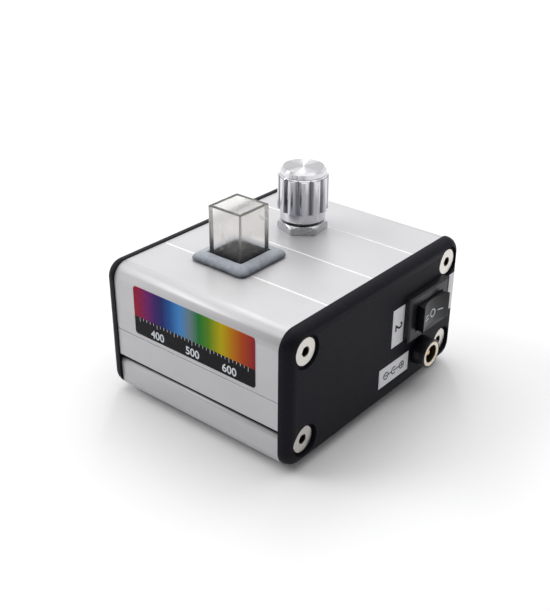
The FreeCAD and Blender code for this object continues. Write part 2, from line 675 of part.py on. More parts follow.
def lens(radius, edge, bulge, window, flat_x, toward):
    """Plano-convex lens, its flat side at flat_x and its bulge facing toward (+1 or -1 along X)."""
    rim_x = flat_x + toward * edge
    x0, x1 = sorted([flat_x, rim_x])
    disc = rod_x(radius, x0, x1, CUVETTE_Y, LIGHT_Z)
    base = window - SLIDE_GAP
    sphere_radius = (base * base + bulge * bulge) / (2 * bulge)
    centre = V(rim_x + toward * (bulge - sphere_radius), CUVETTE_Y, LIGHT_Z)
    x0, x1 = sorted([rim_x, rim_x + toward * 2 * bulge])
    cap = Part.makeSphere(sphere_radius, centre).common(rod_x(base, x0, x1, CUVETTE_Y, LIGHT_Z))
    return disc.fuse(cap).removeSplitter()


def lamp_tube():
    """Dark tube that holds the source lens against the holder and carries the lamp board."""
    start = HOLDER_RIGHT - SPIGOT_DEPTH
    tube = rod_x(LAMP_TUBE_RADIUS, start, LAMP_FACE, CUVETTE_Y, LIGHT_Z)
    tube = tube.cut(rod_x(LAMP_BORE_RADIUS, start - OVERCUT, LAMP_FACE + OVERCUT, CUVETTE_Y, LIGHT_Z))
    tube = tube.cut(rod_x(SOURCE_LENS_RADIUS, start - OVERCUT, start + SOURCE_LENS_EDGE, CUVETTE_Y, LIGHT_Z))
    for offset in (-LAMP_SCREW_OFFSET, LAMP_SCREW_OFFSET):
        tube = tube.cut(rod_x(LAMP_SCREW_RADIUS + THREAD_CLEARANCE, LAMP_FACE - LAMP_SCREW_DEPTH,
                              LAMP_FACE + OVERCUT, CUVETTE_Y, LIGHT_Z + offset))
    return tube


def source_lens():
    flat_x = HOLDER_RIGHT - SPIGOT_DEPTH + SOURCE_LENS_EDGE
    return lens(SOURCE_LENS_RADIUS, SOURCE_LENS_EDGE, SOURCE_LENS_BULGE, LAMP_WINDOW_RADIUS, flat_x, -1)


def lamp_board():
    half_y = LAMP_BOARD_WIDTH / 2
    half_z = LAMP_BOARD_HEIGHT / 2
    board = block(LAMP_FACE, LAMP_FACE + LAMP_BOARD_THICKNESS, CUVETTE_Y - half_y, CUVETTE_Y + half_y,
                  LIGHT_Z - half_z, LIGHT_Z + half_z)
    for offset in (-LAMP_SCREW_OFFSET, LAMP_SCREW_OFFSET):
        board = board.cut(rod_x(LAMP_SCREW_RADIUS + THREAD_CLEARANCE, LAMP_FACE - OVERCUT,
                                LAMP_FACE + LAMP_BOARD_THICKNESS + OVERCUT, CUVETTE_Y, LIGHT_Z + offset))
    return board


def lamp(offset):
    """Surface lamp: square base on the board and a clear dome, facing the lens."""
    y = CUVETTE_Y + offset
    half = LAMP_SIDE / 2
    front = LAMP_FACE - LAMP_BASE
    base = block(front, LAMP_FACE, y - half, y + half, LIGHT_Z - half, LIGHT_Z + half)
    dome = Part.makeSphere(LAMP_DOME_RADIUS, V(front, y, LIGHT_Z))
    dome = dome.common(block(front - 2 * LAMP_DOME_RADIUS, front, y - LAMP_SIDE, y + LAMP_SIDE,
                             LIGHT_Z - LAMP_SIDE, LIGHT_Z + LAMP_SIDE))
    return base.fuse(dome).removeSplitter()


def lamp_board_screws():
    back = LAMP_FACE + LAMP_BOARD_THICKNESS
    screws = []
    for offset in (-LAMP_SCREW_OFFSET, LAMP_SCREW_OFFSET):
        z = LIGHT_Z + offset
        head = rod_x(LAMP_SCREW_HEAD, back, back + LAMP_SCREW_HEAD_HEIGHT, CUVETTE_Y, z)
        shank = rod_x(LAMP_SCREW_RADIUS, LAMP_FACE - LAMP_SCREW_DEPTH, back, CUVETTE_Y, z)
        socket = hexagon_x(LAMP_SCREW_RADIUS * 1.5, back + LAMP_SCREW_HEAD_HEIGHT / 3,
                           back + LAMP_SCREW_HEAD_HEIGHT + OVERCUT, CUVETTE_Y, z)
        screws.append(fuse_all([head, shank]).cut(socket))
    return Part.makeCompound(screws)


def lens_tube():
    """Dark tube from the holder to the fibre port, with the collimating lens at its inner end."""
    inner = HOLDER_LEFT + SPIGOT_DEPTH
    outer = -HALF_LENGTH + PORT_FLANGE_THICKNESS
    tube = rod_x(LENS_TUBE_RADIUS, outer, inner, CUVETTE_Y, LIGHT_Z)
    tube = tube.cut(rod_x(LENS_TUBE_BORE, outer - OVERCUT, inner + OVERCUT, CUVETTE_Y, LIGHT_Z))
    return tube.cut(rod_x(FIBRE_LENS_RADIUS, inner - FIBRE_LENS_EDGE, inner + OVERCUT, CUVETTE_Y, LIGHT_Z))


def collimating_lens():
    flat_x = HOLDER_LEFT + SPIGOT_DEPTH - FIBRE_LENS_EDGE
    return lens(FIBRE_LENS_RADIUS, FIBRE_LENS_EDGE, FIBRE_LENS_BULGE, FIBRE_WINDOW_RADIUS, flat_x, 1)


def fibre_port():
    """Bulkhead connector for a 3.2 mm ferrule: inner flange, threaded barrel and through bore."""
    outer = -COVER_FACE - PORT_LENGTH_OUTSIDE
    inner = -HALF_LENGTH + PORT_FLANGE_THICKNESS
    barrel = rod_x(PORT_RADIUS, outer, inner, CUVETTE_Y, LIGHT_Z)
    barrel = chamfer_where(barrel, PORT_CHAMFER, lambda e: edge_at(e, "x", outer))
    flange = rod_x(PORT_FLANGE_RADIUS, -HALF_LENGTH, inner, CUVETTE_Y, LIGHT_Z)
    return fuse_all([barrel, flange]).cut(rod_x(PORT_BORE_RADIUS, outer - OVERCUT, inner + OVERCUT,
                                                CUVETTE_Y, LIGHT_Z))


def port_bore_cut(x0, x1):
    return rod_x(PORT_RADIUS + THREAD_CLEARANCE, x0 - OVERCUT, x1 + OVERCUT, CUVETTE_Y, LIGHT_Z)


def fibre_port_washer():
    outer = -COVER_FACE - PORT_WASHER_THICKNESS
    disc = rod_x(PORT_WASHER_RADIUS, outer, -COVER_FACE, CUVETTE_Y, LIGHT_Z)
    return disc.cut(port_bore_cut(outer, -COVER_FACE))


def fibre_port_nut():
    inner = -COVER_FACE - PORT_WASHER_THICKNESS
    outer = inner - PORT_NUT_THICKNESS
    return hexagon_x(PORT_NUT_FLATS, outer, inner, CUVETTE_Y, LIGHT_Z).cut(port_bore_cut(outer, inner))


def rod_control(radius, z0, z1):
    return rod_z(radius, CONTROL_X, CONTROL_Y, z0, z1)


def level_knob():
    """Turned knob: plain rings at both ends, a band of rounded lobes between them, hollow for its insert."""
    bottom = TOP + KNOB_BOTTOM
    top = TOP + KNOB_TOP
    core = rod_control(KNOB_RADIUS, bottom, top)
    core = chamfer_where(core, KNOB_TOP_CHAMFER, lambda e: edge_at(e, "z", top))
    band_low = TOP + KNOB_BAND_BOTTOM
    band_high = TOP + KNOB_BAND_TOP
    lobes = []
    for i in range(LOBE_COUNT):
        angle = math.radians(NUT_TURN + 360 * i / LOBE_COUNT)
        x = CONTROL_X + LOBE_CIRCLE * math.cos(angle)
        y = CONTROL_Y + LOBE_CIRCLE * math.sin(angle)
        lobes.append(rod_z(LOBE_RADIUS, x, y, band_low, band_high))
    crest = LOBE_CIRCLE + LOBE_RADIUS
    envelope = rod_control(crest, band_low, band_high)
    envelope = chamfer_where(envelope, KNOB_BAND_CHAMFER, lambda e: edge_at(e, "z", band_high))
    band = fuse_all(lobes).common(envelope)
    knob = core.fuse(band)
    return knob.cut(rod_control(INSERT_RADIUS, bottom - OVERCUT, TOP + INSERT_TOP)).removeSplitter()


def knob_insert():
    """Sleeve between the knob and the shaft."""
    bottom = TOP + KNOB_BOTTOM
    sleeve = rod_control(INSERT_RADIUS, bottom, TOP + INSERT_TOP)
    return sleeve.cut(rod_control(SHAFT_RADIUS, bottom - OVERCUT, TOP + SHAFT_LENGTH_ABOVE))


def control_shaft():
    """Shaft of the level control with its wiper disc, turned by the knob."""
    foot = CONTROL_BOTTOM + WAFER_THICKNESS + CONTROL_WALL
    shaft = rod_control(SHAFT_RADIUS, foot, TOP + SHAFT_LENGTH_ABOVE)
    disc = rod_control(WIPER_RADIUS, foot, foot + WIPER_THICKNESS)
    return fuse_all([shaft, disc])


def control_body():
    """Metal can and threaded bushing of the level control."""
    can = rod_control(CONTROL_RADIUS, CONTROL_BOTTOM + WAFER_THICKNESS, CONTROL_TOP)
    bushing = rod_control(BUSHING_RADIUS, CONTROL_TOP, TOP + BUSHING_TOP)
    inside = rod_control(CONTROL_RADIUS - CONTROL_WALL, CONTROL_BOTTOM + WAFER_THICKNESS - OVERCUT,
                         CONTROL_TOP - CONTROL_WALL)
    bore = rod_control(SHAFT_RADIUS + SHAFT_GAP, CONTROL_BOTTOM, TOP + BUSHING_TOP + OVERCUT)
    return fuse_all([can, bushing]).cut(inside).cut(bore)


def control_wafer():
    """Board that closes the can and carries the track and the lugs."""
    low = CONTROL_BOTTOM
    high = low + WAFER_THICKNESS
    half = WAFER_TAIL_WIDTH / 2
    disc = rod_control(CONTROL_RADIUS, low, high)
    tail = block(CONTROL_X - half, CONTROL_X + half, CONTROL_Y, CONTROL_Y + WAFER_TAIL_REACH, low, high)
    wafer = fuse_all([disc, tail])
    return wafer.cut(control_lugs())


def control_lugs():
    lugs = []
    for i in (-1, 0, 1):
        x = CONTROL_X + i * LUG_SPACING
        lugs.append(block(x - LUG_WIDTH / 2, x + LUG_WIDTH / 2, CONTROL_Y + CONTROL_RADIUS / 2,
                          CONTROL_Y + LUG_REACH, LUG_Z - LUG_THICKNESS / 2, LUG_Z + LUG_THICKNESS / 2))
    return Part.makeCompound(lugs)


def control_washer():
    disc = rod_control(CONTROL_WASHER_RADIUS, CONTROL_TOP, CEILING)
    return disc.cut(rod_control(BUSHING_HOLE_RADIUS, CONTROL_TOP - OVERCUT, CEILING + OVERCUT))


def control_nut():
    nut = hexagon_z(NUT_FLATS, CONTROL_X, CONTROL_Y, TOP, TOP + NUT_THICKNESS, NUT_TURN)
    blank = rod_control(NUT_FLATS / 2 + NUT_CHAMFER, TOP, TOP + NUT_THICKNESS)
    nut = nut.common(chamfer_where(blank, NUT_CHAMFER, lambda e: edge_at(e, "z", TOP + NUT_THICKNESS)))
    return nut.cut(rod_control(BUSHING_RADIUS + THREAD_CLEARANCE, TOP - OVERCUT,
                               TOP + NUT_THICKNESS + OVERCUT))


def switch_blades():
    """Three flat terminals that pass through the base of the switch."""
    rear = COVER_FACE - SWITCH_BODY_DEPTH
    front = rear + SWITCH_BASE + BLADE_CONTACT
    blades = []
    for i in (-1, 0, 1):
        y = SWITCH_Y + i * BLADE_SPACING
        blade = block(rear - BLADE_REACH, front, y - BLADE_THICKNESS / 2, y + BLADE_THICKNESS / 2,
                      SWITCH_Z - BLADE_WIDTH / 2, SWITCH_Z + BLADE_WIDTH / 2)
        eye_start = V(rear - BLADE_REACH / 2, y - OVERCUT, SWITCH_Z)
        eye = Part.makeCylinder(BLADE_HOLE_RADIUS, 2 * OVERCUT, eye_start, Y_AXIS)
        blades.append(blade.cut(eye))
    return Part.makeCompound(blades)


def switch_housing():
    """Bezel and body of the rocker switch, with its well, pivot holes and side clips."""
    rear = COVER_FACE - SWITCH_BODY_DEPTH
    front = COVER_FACE + BEZEL_THICKNESS
    half_y = BEZEL_LENGTH / 2
    half_z = BEZEL_WIDTH / 2
    bezel = block(COVER_FACE, front, SWITCH_Y - half_y, SWITCH_Y + half_y,
                  SWITCH_Z - half_z, SWITCH_Z + half_z)
    bezel = chamfer_where(bezel, BEZEL_CHAMFER, lambda e: edge_at(e, "x", front))
    half_y = SWITCH_BODY_LENGTH / 2
    half_z = SWITCH_BODY_WIDTH / 2
    body = block(rear, COVER_FACE, SWITCH_Y - half_y, SWITCH_Y + half_y, SWITCH_Z - half_z, SWITCH_Z + half_z)
    clip = block(HALF_LENGTH - CLIP_LENGTH, HALF_LENGTH, SWITCH_Y - half_y - CLIP_REACH,
                 SWITCH_Y + half_y + CLIP_REACH, SWITCH_Z - CLIP_WIDTH / 2, SWITCH_Z + CLIP_WIDTH / 2)
    housing = fuse_all([bezel, body, clip])
    half_y = SWITCH_WELL_LENGTH / 2
    half_z = SWITCH_WELL_WIDTH / 2
    housing = housing.cut(block(rear + SWITCH_BASE, front + OVERCUT, SWITCH_Y - half_y, SWITCH_Y + half_y,
                                SWITCH_Z - half_z, SWITCH_Z + half_z))
    housing = housing.cut(rod_z(PIVOT_RADIUS + PIVOT_GAP, PIVOT_X, SWITCH_Y,
                                SWITCH_Z - PIVOT_REACH - PIVOT_GAP, SWITCH_Z + PIVOT_REACH + PIVOT_GAP))
    for i in (-1, 0, 1):
        y = SWITCH_Y + i * BLADE_SPACING
        housing = housing.cut(block(rear - OVERCUT, rear + SWITCH_BASE + OVERCUT,
                                    y - BLADE_THICKNESS / 2, y + BLADE_THICKNESS / 2,
                                    SWITCH_Z - BLADE_WIDTH / 2, SWITCH_Z + BLADE_WIDTH / 2))
    return housing


def rocker():
    """Three-position rocker: hollowed top, tapered ends and two pivot pins."""
    end_x = COVER_FACE + ROCKER_END_RISE
    middle_x = COVER_FACE + ROCKER_MIDDLE_RISE
    waist_x = COVER_FACE + BEZEL_THICKNESS
    foot_x = PIVOT_X - ROCKER_FOOT_DEPTH + PIVOT_DEPTH
    z0 = SWITCH_Z - ROCKER_WIDTH / 2
    left_end = V(end_x, SWITCH_Y - ROCKER_HALF_LENGTH, z0)
    right_end = V(end_x, SWITCH_Y + ROCKER_HALF_LENGTH, z0)
    corners = [
        right_end,
        V(waist_x, SWITCH_Y + ROCKER_HALF_WAIST, z0),
        V(foot_x, SWITCH_Y + ROCKER_HALF_FOOT, z0),
        V(foot_x, SWITCH_Y - ROCKER_HALF_FOOT, z0),
        V(waist_x, SWITCH_Y - ROCKER_HALF_WAIST, z0),
        left_end,
    ]
    edges = [Part.Arc(left_end, V(middle_x, SWITCH_Y, z0), right_end).toShape()]
    for a, b in zip(corners, corners[1:]):
        edges.append(Part.LineSegment(a, b).toShape())
    body = Part.Face(Part.Wire(edges)).extrude(V(0, 0, ROCKER_WIDTH))
    pin = rod_z(PIVOT_RADIUS, PIVOT_X, SWITCH_Y, SWITCH_Z - PIVOT_REACH, SWITCH_Z + PIVOT_REACH)
    return body.fuse(pin).removeSplitter()


def jack_rod(radius, x0, x1):
    return rod_x(radius, x0, x1, JACK_Y, JACK_Z)


def jack_barrel():
    """Black insulating body of the jack, in front of and behind the cover."""
    front = COVER_FACE + JACK_BARREL_LENGTH
    barrel = jack_rod(JACK_BARREL_RADIUS, COVER_FACE, front)
    barrel = chamfer_where(barrel, JACK_BARREL_CHAMFER, lambda e: edge_at(e, "x", front))
    thread = jack_rod(JACK_THREAD_RADIUS, COVER_FACE - JACK_DEPTH, COVER_FACE)
    socket = jack_rod(JACK_SOCKET_RADIUS + JACK_SLEEVE_WALL, front - JACK_SOCKET_DEPTH, front + OVERCUT)
    lip = jack_rod(JACK_RING_RADIUS, front - JACK_RING_LIP, front + OVERCUT)
    return fuse_all([barrel, thread]).cut(socket).cut(lip)


def jack_ring():
    """Metal sleeve of the socket with the ring that shows at its mouth."""
    front = COVER_FACE + JACK_BARREL_LENGTH
    lip = jack_rod(JACK_RING_RADIUS, front - JACK_RING_LIP, front)
    sleeve = jack_rod(JACK_SOCKET_RADIUS + JACK_SLEEVE_WALL, front - JACK_SOCKET_DEPTH, front)
    return fuse_all([lip, sleeve]).cut(jack_rod(JACK_SOCKET_RADIUS, front - JACK_SOCKET_DEPTH - OVERCUT,
                                                front + OVERCUT))


def jack_pin():
    """Centre contact of the socket."""
    front = COVER_FACE + JACK_BARREL_LENGTH
    pin = jack_rod(JACK_PIN_RADIUS, front - JACK_SOCKET_DEPTH, front - JACK_PIN_RECESS)
    return fillet_where(pin, JACK_PIN_RADIUS / 2, lambda e: edge_at(e, "x", front - JACK_PIN_RECESS))


def jack_nut():
    inner = HALF_LENGTH - JACK_NUT_THICKNESS
    nut = hexagon_x(JACK_NUT_FLATS, inner, HALF_LENGTH, JACK_Y, JACK_Z)
    return nut.cut(jack_rod(JACK_THREAD_RADIUS + THREAD_CLEARANCE, inner - OVERCUT, HALF_LENGTH + OVERCUT))


def jack_lug_places():
    return [JACK_Y - JACK_LUG_SPACING / 2, JACK_Y + JACK_LUG_SPACING / 2]


def jack_terminals():
    rear = COVER_FACE - JACK_DEPTH
    lugs = []
    for y in jack_lug_places():
        lugs.append(block(rear - JACK_LUG_LENGTH, rear,
                          y - JACK_LUG_THICKNESS / 2, y + JACK_LUG_THICKNESS / 2,
                          JACK_Z - JACK_LUG_WIDTH / 2, JACK_Z + JACK_LUG_WIDTH / 2))
    return Part.makeCompound(lugs)


def driver_board():
    board = block(BOARD_LEFT, BOARD_RIGHT, BOARD_FRONT, BOARD_BACK, BOARD_BOTTOM, BOARD_TOP)
    for x, y in board_post_places():
        board = board.cut(rod_z(BOARD_HOLE_RADIUS, x, y, BOARD_BOTTOM - OVERCUT, BOARD_TOP + OVERCUT))
    return board


def board_posts():
    posts = []
    for x, y in board_post_places():
        post = hexagon_z(2 * POST_RADIUS, x, y, FLOOR, BOARD_BOTTOM)
        posts.append(post.cut(rod_z(POST_HOLE_RADIUS, x, y, FLOOR + SHELL_WALL / 4, BOARD_BOTTOM + OVERCUT)))
    return Part.makeCompound(posts)


def board_screws():
    screws = []
    for x, y in board_post_places():
        head = rod_z(BOARD_SCREW_HEAD, x, y, BOARD_TOP, BOARD_TOP + BOARD_SCREW_HEAD_HEIGHT)
        shank = rod_z(BOARD_SCREW_RADIUS, x, y, FLOOR + SHELL_WALL / 2, BOARD_TOP)
        socket = hexagon_z(BOARD_SCREW_HEAD, x, y, BOARD_TOP + BOARD_SCREW_HEAD_HEIGHT / 3,
                           BOARD_TOP + BOARD_SCREW_HEAD_HEIGHT + OVERCUT)
        screws.append(fuse_all([head, shank]).cut(socket))
    return Part.makeCompound(screws)


def on_board(x, y, size_x, size_y, height):
    return block(x - size_x / 2, x + size_x / 2, y - size_y / 2, y + size_y / 2,
                 BOARD_TOP, BOARD_TOP + height)


def driver_chip():
    return on_board(BOARD_LEFT + CHIP_INSET_X, BOARD_FRONT + CHIP_INSET_Y,
                    CHIP_LENGTH, CHIP_WIDTH, CHIP_HEIGHT)


def inductor():
    x = BOARD_LEFT + INDUCTOR_INSET_X
    y = BOARD_FRONT + INDUCTOR_INSET_Y
    part = on_board(x, y, INDUCTOR_SIDE, INDUCTOR_SIDE, INDUCTOR_HEIGHT)
    return fillet_where(part, INDUCTOR_CORNER, lambda e: runs_along(e, Z_AXIS))


def capacitors():
    top = BOARD_TOP + CAN_HEIGHT
    cans = [rod_z(CAN_RADIUS, BOARD_LEFT + inset, CAN_Y, BOARD_TOP, top) for inset in CAN_INSETS_X]
    return Part.makeCompound([fillet_where(can, CAN_EDGE, lambda e: edge_at(e, "z", top)) for can in cans])


def wire_connectors():
    width = CONNECTOR_WIDTH
    height = CONNECTOR_HEIGHT
    return Part.makeCompound([
        on_board(CONTROL_X, CONTROL_SOCKET_Y, CONTROL_SOCKET_LENGTH, width, height),
        on_board(SWITCH_SOCKET_X, SWITCH_Y, width, SWITCH_SOCKET_LENGTH, height),
        on_board(POWER_SOCKET_X, POWER_SOCKET_Y, POWER_SOCKET_WIDTH, POWER_SOCKET_LENGTH, height),
        on_board(LAMP_SOCKET_X, LAMP_SOCKET_Y, width, LAMP_SOCKET_LENGTH, height),
    ])


def jack_wires():
    """Two leads from the jack's lugs round the board's end to the power socket."""
    near_y, far_y = jack_lug_places()
    side_x = JACK_REAR - JACK_NEAR_REACH
    side_y = POWER_SOCKET_Y - JACK_NEAR_OFFSET
    near = [
        V(JACK_REAR, near_y, JACK_Z),
        V(side_x, near_y, JACK_Z),
        V(side_x, side_y, JACK_Z),
        V(POWER_SOCKET_X + POWER_SOCKET_WIDTH / 2, side_y, JACK_Z),
    ]
    far = [
        V(JACK_REAR, far_y, JACK_Z),
        V(POWER_SOCKET_X, far_y, JACK_Z),
        V(POWER_SOCKET_X, POWER_SOCKET_Y + POWER_SOCKET_LENGTH / 2, JACK_Z),
    ]
    return Part.makeCompound([lead(near, JACK_NEAR_BEND), lead(far, JACK_FAR_BEND)])


def switch_wires():
    """Three leads from the switch's blades down to their socket."""
    bend = BLADE_END - SWITCH_SOCKET_X - SWITCH_LEAD_START
    leads = []
    for i in (-1, 0, 1):
        y = SWITCH_Y + i * BLADE_SPACING
        path = [
            V(BLADE_END, y, SWITCH_Z),
            V(SWITCH_SOCKET_X, y, SWITCH_Z),
            V(SWITCH_SOCKET_X, y, CONNECTOR_TOP),
        ]
        leads.append(lead(path, bend))
    return Part.makeCompound(leads)


def control_wires():
    """Three leads from the level control's lugs down the wall to their socket."""
    drop_y = CONTROL_Y + LUG_REACH + CONTROL_DROP_REACH
    run_z = CONNECTOR_TOP + CONTROL_RUN_RISE
    leads = []
    for i in (-1, 0, 1):
        x = CONTROL_X + i * LUG_SPACING
        path = [
            V(x, CONTROL_Y + LUG_REACH, LUG_Z),
            V(x, drop_y, LUG_Z),
            V(x, drop_y, run_z),
            V(x, CONTROL_SOCKET_Y, run_z),
            V(x, CONTROL_SOCKET_Y, CONNECTOR_TOP),
        ]
        leads.append(lead(path, CONTROL_BEND))
    return Part.makeCompound(leads)


def lamp_wires():
    """Three nested leads from the back of the lamp board round its edge to their socket."""
    back = LAMP_FACE + LAMP_BOARD_THICKNESS
    z = LIGHT_Z - LAMP_LEAD_DROP
    leads = []
    for i in (0, 1, 2):
        step = i * LAMP_LEAD_PITCH
        start_y = CUVETTE_Y + LAMP_LEAD_OFFSET - step
        end_y = LAMP_SOCKET_Y - LAMP_LEAD_PITCH + step
        path = [
            V(back, start_y, z),
            V(back + LAMP_LEAD_REACH + step, start_y, z),
            V(back + LAMP_LEAD_REACH + step, end_y, z),
            V(LAMP_SOCKET_X, end_y, z),
            V(LAMP_SOCKET_X, end_y, CONNECTOR_TOP),
        ]
        leads.append(lead(path, LAMP_BEND))
    return Part.makeCompound(leads)


def front_label():
    """Thin label on the front face, its top edge laid over the start of the corner."""
    half = LABEL_WIDTH / 2
    face = -HALF_WIDTH
    top = TOP - LABEL_DROP
    bottom = top - LABEL_HEIGHT
    bend = TOP - TOP_CORNER_RADIUS
    flat = block(-half, half, face - LABEL_THICKNESS, face, bottom, bend)
    centre_y = face + TOP_CORNER_RADIUS
    ring = rod_x(TOP_CORNER_RADIUS + LABEL_THICKNESS, -half, half, centre_y, bend)
    ring = ring.cut(rod_x(TOP_CORNER_RADIUS, -half - OVERCUT, half + OVERCUT, centre_y, bend))
    strip = ring.common(block(-half, half, face - OVERCUT, face + OVERCUT, bend, top))
    label = flat.fuse(strip).removeSplitter()
    outline = block(-half, half, face - OVERCUT, face + OVERCUT, bottom, top)
    outline = fillet_where(outline, LABEL_CORNER_RADIUS, lambda e: runs_along(e, Y_AXIS))
    return label.common(outline)


def flat_sticker(y, length, z, height):
    return block(COVER_FACE, COVER_FACE + STICKER_THICKNESS, y, y + length, z, z + height)


def edge_sticker():
    """Sticker laid round the rounded edge of the cover."""
    z0 = BASE + STICKER_LOWER
    bend_y = HALF_WIDTH + COVER_OVERHANG - COVER_EDGE_RADIUS
    centre_x = COVER_FACE - COVER_EDGE_RADIUS
    flat = flat_sticker(bend_y - EDGE_STICKER_FLAT, EDGE_STICKER_FLAT, z0, STICKER_LONG)
    turn = math.degrees((STICKER_SHORT - EDGE_STICKER_FLAT) / COVER_EDGE_RADIUS)
    centre = V(centre_x, bend_y, z0)
    wedge = Part.makeCylinder(COVER_EDGE_RADIUS + STICKER_THICKNESS, STICKER_LONG, centre, Z_AXIS, turn)
    wedge = wedge.cut(Part.makeCylinder(COVER_EDGE_RADIUS, STICKER_LONG, centre, Z_AXIS))
    return flat.fuse(wedge).removeSplitter()


def cover_stickers():
    left_y = SWITCH_Y - BEZEL_LENGTH / 2 - LEFT_STICKER_GAP - STICKER_SHORT
    jack_y = JACK_Y - JACK_BARREL_RADIUS - JACK_STICKER_GAP - JACK_STICKER_LENGTH
    return Part.makeCompound([
        flat_sticker(left_y, STICKER_SHORT, BASE + STICKER_LOWER, STICKER_LONG),
        flat_sticker(jack_y, JACK_STICKER_LENGTH, BASE + JACK_STICKER_LOWER, JACK_STICKER_HEIGHT),
        edge_sticker(),
    ])


NODES = {
    "top_shell": top_shell(),
    "bottom_shell": bottom_shell(),
    "switch_end_cover": switch_end_cover(),
    "fibre_end_cover": fibre_end_cover(),
    "switch_end_screws": cover_screws(1),
    "fibre_end_screws": cover_screws(-1),
    "rubber_feet": rubber_feet(),
    "cuvette": cuvette(),
    "cuvette_collar": cuvette_collar(),
    "cuvette_holder": cuvette_holder(),
    "holder_screws": holder_screws(),
    "lamp_tube": lamp_tube(),
    "source_lens": source_lens(),
    "lamp_board": lamp_board(),
    "white_lamp": lamp(LAMP_OFFSET),
    "ultraviolet_lamp": lamp(-LAMP_OFFSET),
    "lamp_board_screws": lamp_board_screws(),
    "lens_tube": lens_tube(),
    "collimating_lens": collimating_lens(),
    "fibre_port": fibre_port(),
    "fibre_port_washer": fibre_port_washer(),
    "fibre_port_nut": fibre_port_nut(),
    "level_knob": level_knob(),
    "knob_insert": knob_insert(),
    "control_shaft": control_shaft(),
    "control_body": control_body(),
    "control_wafer": control_wafer(),
    "control_lugs": control_lugs(),
    "control_washer": control_washer(),
    "control_nut": control_nut(),
    "switch_housing": switch_housing(),
    "rocker": rocker(),
    "switch_blades": switch_blades(),
    "jack_barrel": jack_barrel(),
    "jack_ring": jack_ring(),
    "jack_pin": jack_pin(),
    "jack_nut": jack_nut(),
    "jack_terminals": jack_terminals(),
    "driver_board": driver_board(),
    "board_posts": board_posts(),
    "board_screws": board_screws(),
    "driver_chip": driver_chip(),
    "inductor": inductor(),
    "capacitors": capacitors(),
    "wire_connectors": wire_connectors(),
    "jack_wires": jack_wires(),
    "switch_wires": switch_wires(),
    "control_wires": control_wires(),
    "lamp_wires": lamp_wires(),
    "front_label": front_label(),
    "cover_stickers": cover_stickers(),
}

for name, shape in NODES.items():
    shape.translate(V(FRAME_SHIFT, 0, 0))
    shape.exportStep("parts/" + name + ".step")
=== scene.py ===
import json
import math

import bmesh
import bpy
from mathutils import Matrix, Vector, noise


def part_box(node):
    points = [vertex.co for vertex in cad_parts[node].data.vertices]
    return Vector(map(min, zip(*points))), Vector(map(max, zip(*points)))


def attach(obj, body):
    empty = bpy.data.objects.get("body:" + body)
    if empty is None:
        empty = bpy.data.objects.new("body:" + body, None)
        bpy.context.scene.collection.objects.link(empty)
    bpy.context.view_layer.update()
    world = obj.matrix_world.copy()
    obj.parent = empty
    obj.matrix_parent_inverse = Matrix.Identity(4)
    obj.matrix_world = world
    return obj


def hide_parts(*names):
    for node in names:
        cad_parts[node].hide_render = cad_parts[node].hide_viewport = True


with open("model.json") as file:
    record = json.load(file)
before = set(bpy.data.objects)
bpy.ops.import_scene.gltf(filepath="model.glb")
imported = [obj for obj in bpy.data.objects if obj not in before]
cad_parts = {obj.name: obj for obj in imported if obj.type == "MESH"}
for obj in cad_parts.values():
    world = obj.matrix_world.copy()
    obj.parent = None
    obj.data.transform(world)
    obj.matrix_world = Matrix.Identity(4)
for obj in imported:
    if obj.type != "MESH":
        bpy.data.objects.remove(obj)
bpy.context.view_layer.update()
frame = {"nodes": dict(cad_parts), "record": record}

# Camera solved from the box edges: metres and degrees in the part's frame
CAMERA_PLACE = (0.16855, -0.20567, 0.16877)
CAMERA_AZIMUTH = 39.740
CAMERA_ELEVATION = 28.563
CAMERA_ROLL = 0.339
FOCAL_PIXELS = 964.0
IMAGE_WIDTH = 550
IMAGE_HEIGHT = 611
OPTICAL_CENTRE = (274.74, 305.1)
SENSOR = 36.0

MM = 0.001

# Places taken from the CAD nodes, in metres
TOP_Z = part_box("top_shell")[1].z
UPPER_EDGE_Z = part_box("top_shell")[0].z
GAP_Z = 13.0 * MM
INSERT_LOW, INSERT_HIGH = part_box("knob_insert")
HALF_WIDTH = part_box("top_shell")[1].y
JACK_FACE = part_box("jack_ring")[1].x
LABEL_LOW, LABEL_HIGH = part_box("front_label")
KNOB_LOW, KNOB_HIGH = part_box("level_knob")
KNOB_X = (KNOB_LOW.x + KNOB_HIGH.x) / 2
KNOB_Y = (KNOB_LOW.y + KNOB_HIGH.y) / 2
CELL_LOW, CELL_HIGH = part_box("cuvette")
CELL_X = (CELL_LOW.x + CELL_HIGH.x) / 2
CELL_Y = (CELL_LOW.y + CELL_HIGH.y) / 2
CELL_HALF = (CELL_HIGH.x - CELL_LOW.x) / 2
COLLAR_LOW, COLLAR_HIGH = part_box("cuvette_collar")
PORT_LOW, PORT_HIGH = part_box("fibre_port")
PORT_Y = (PORT_LOW.y + PORT_HIGH.y) / 2
PORT_Z = (PORT_LOW.z + PORT_HIGH.z) / 2
ROCKER_LOW, ROCKER_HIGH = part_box("rocker")
ROCKER_Y = (ROCKER_LOW.y + ROCKER_HIGH.y) / 2
ROCKER_Z = (ROCKER_LOW.z + ROCKER_HIGH.z) / 2
STICKERS_LOW, STICKERS_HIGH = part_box("cover_stickers")
SWITCH_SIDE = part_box("switch_housing")[0].y
SCREWS_LOW, SCREWS_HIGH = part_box("switch_end_screws")
SCREW_HEAD = 4.0 * MM
SCREW_HEXAGON = 1.5 * MM
SCREW_Y = SCREWS_HIGH.y - SCREW_HEAD
SCREW_UPPER_Z = SCREWS_HIGH.z - SCREW_HEAD
SCREW_LOWER_Z = SCREWS_LOW.z + SCREW_HEAD


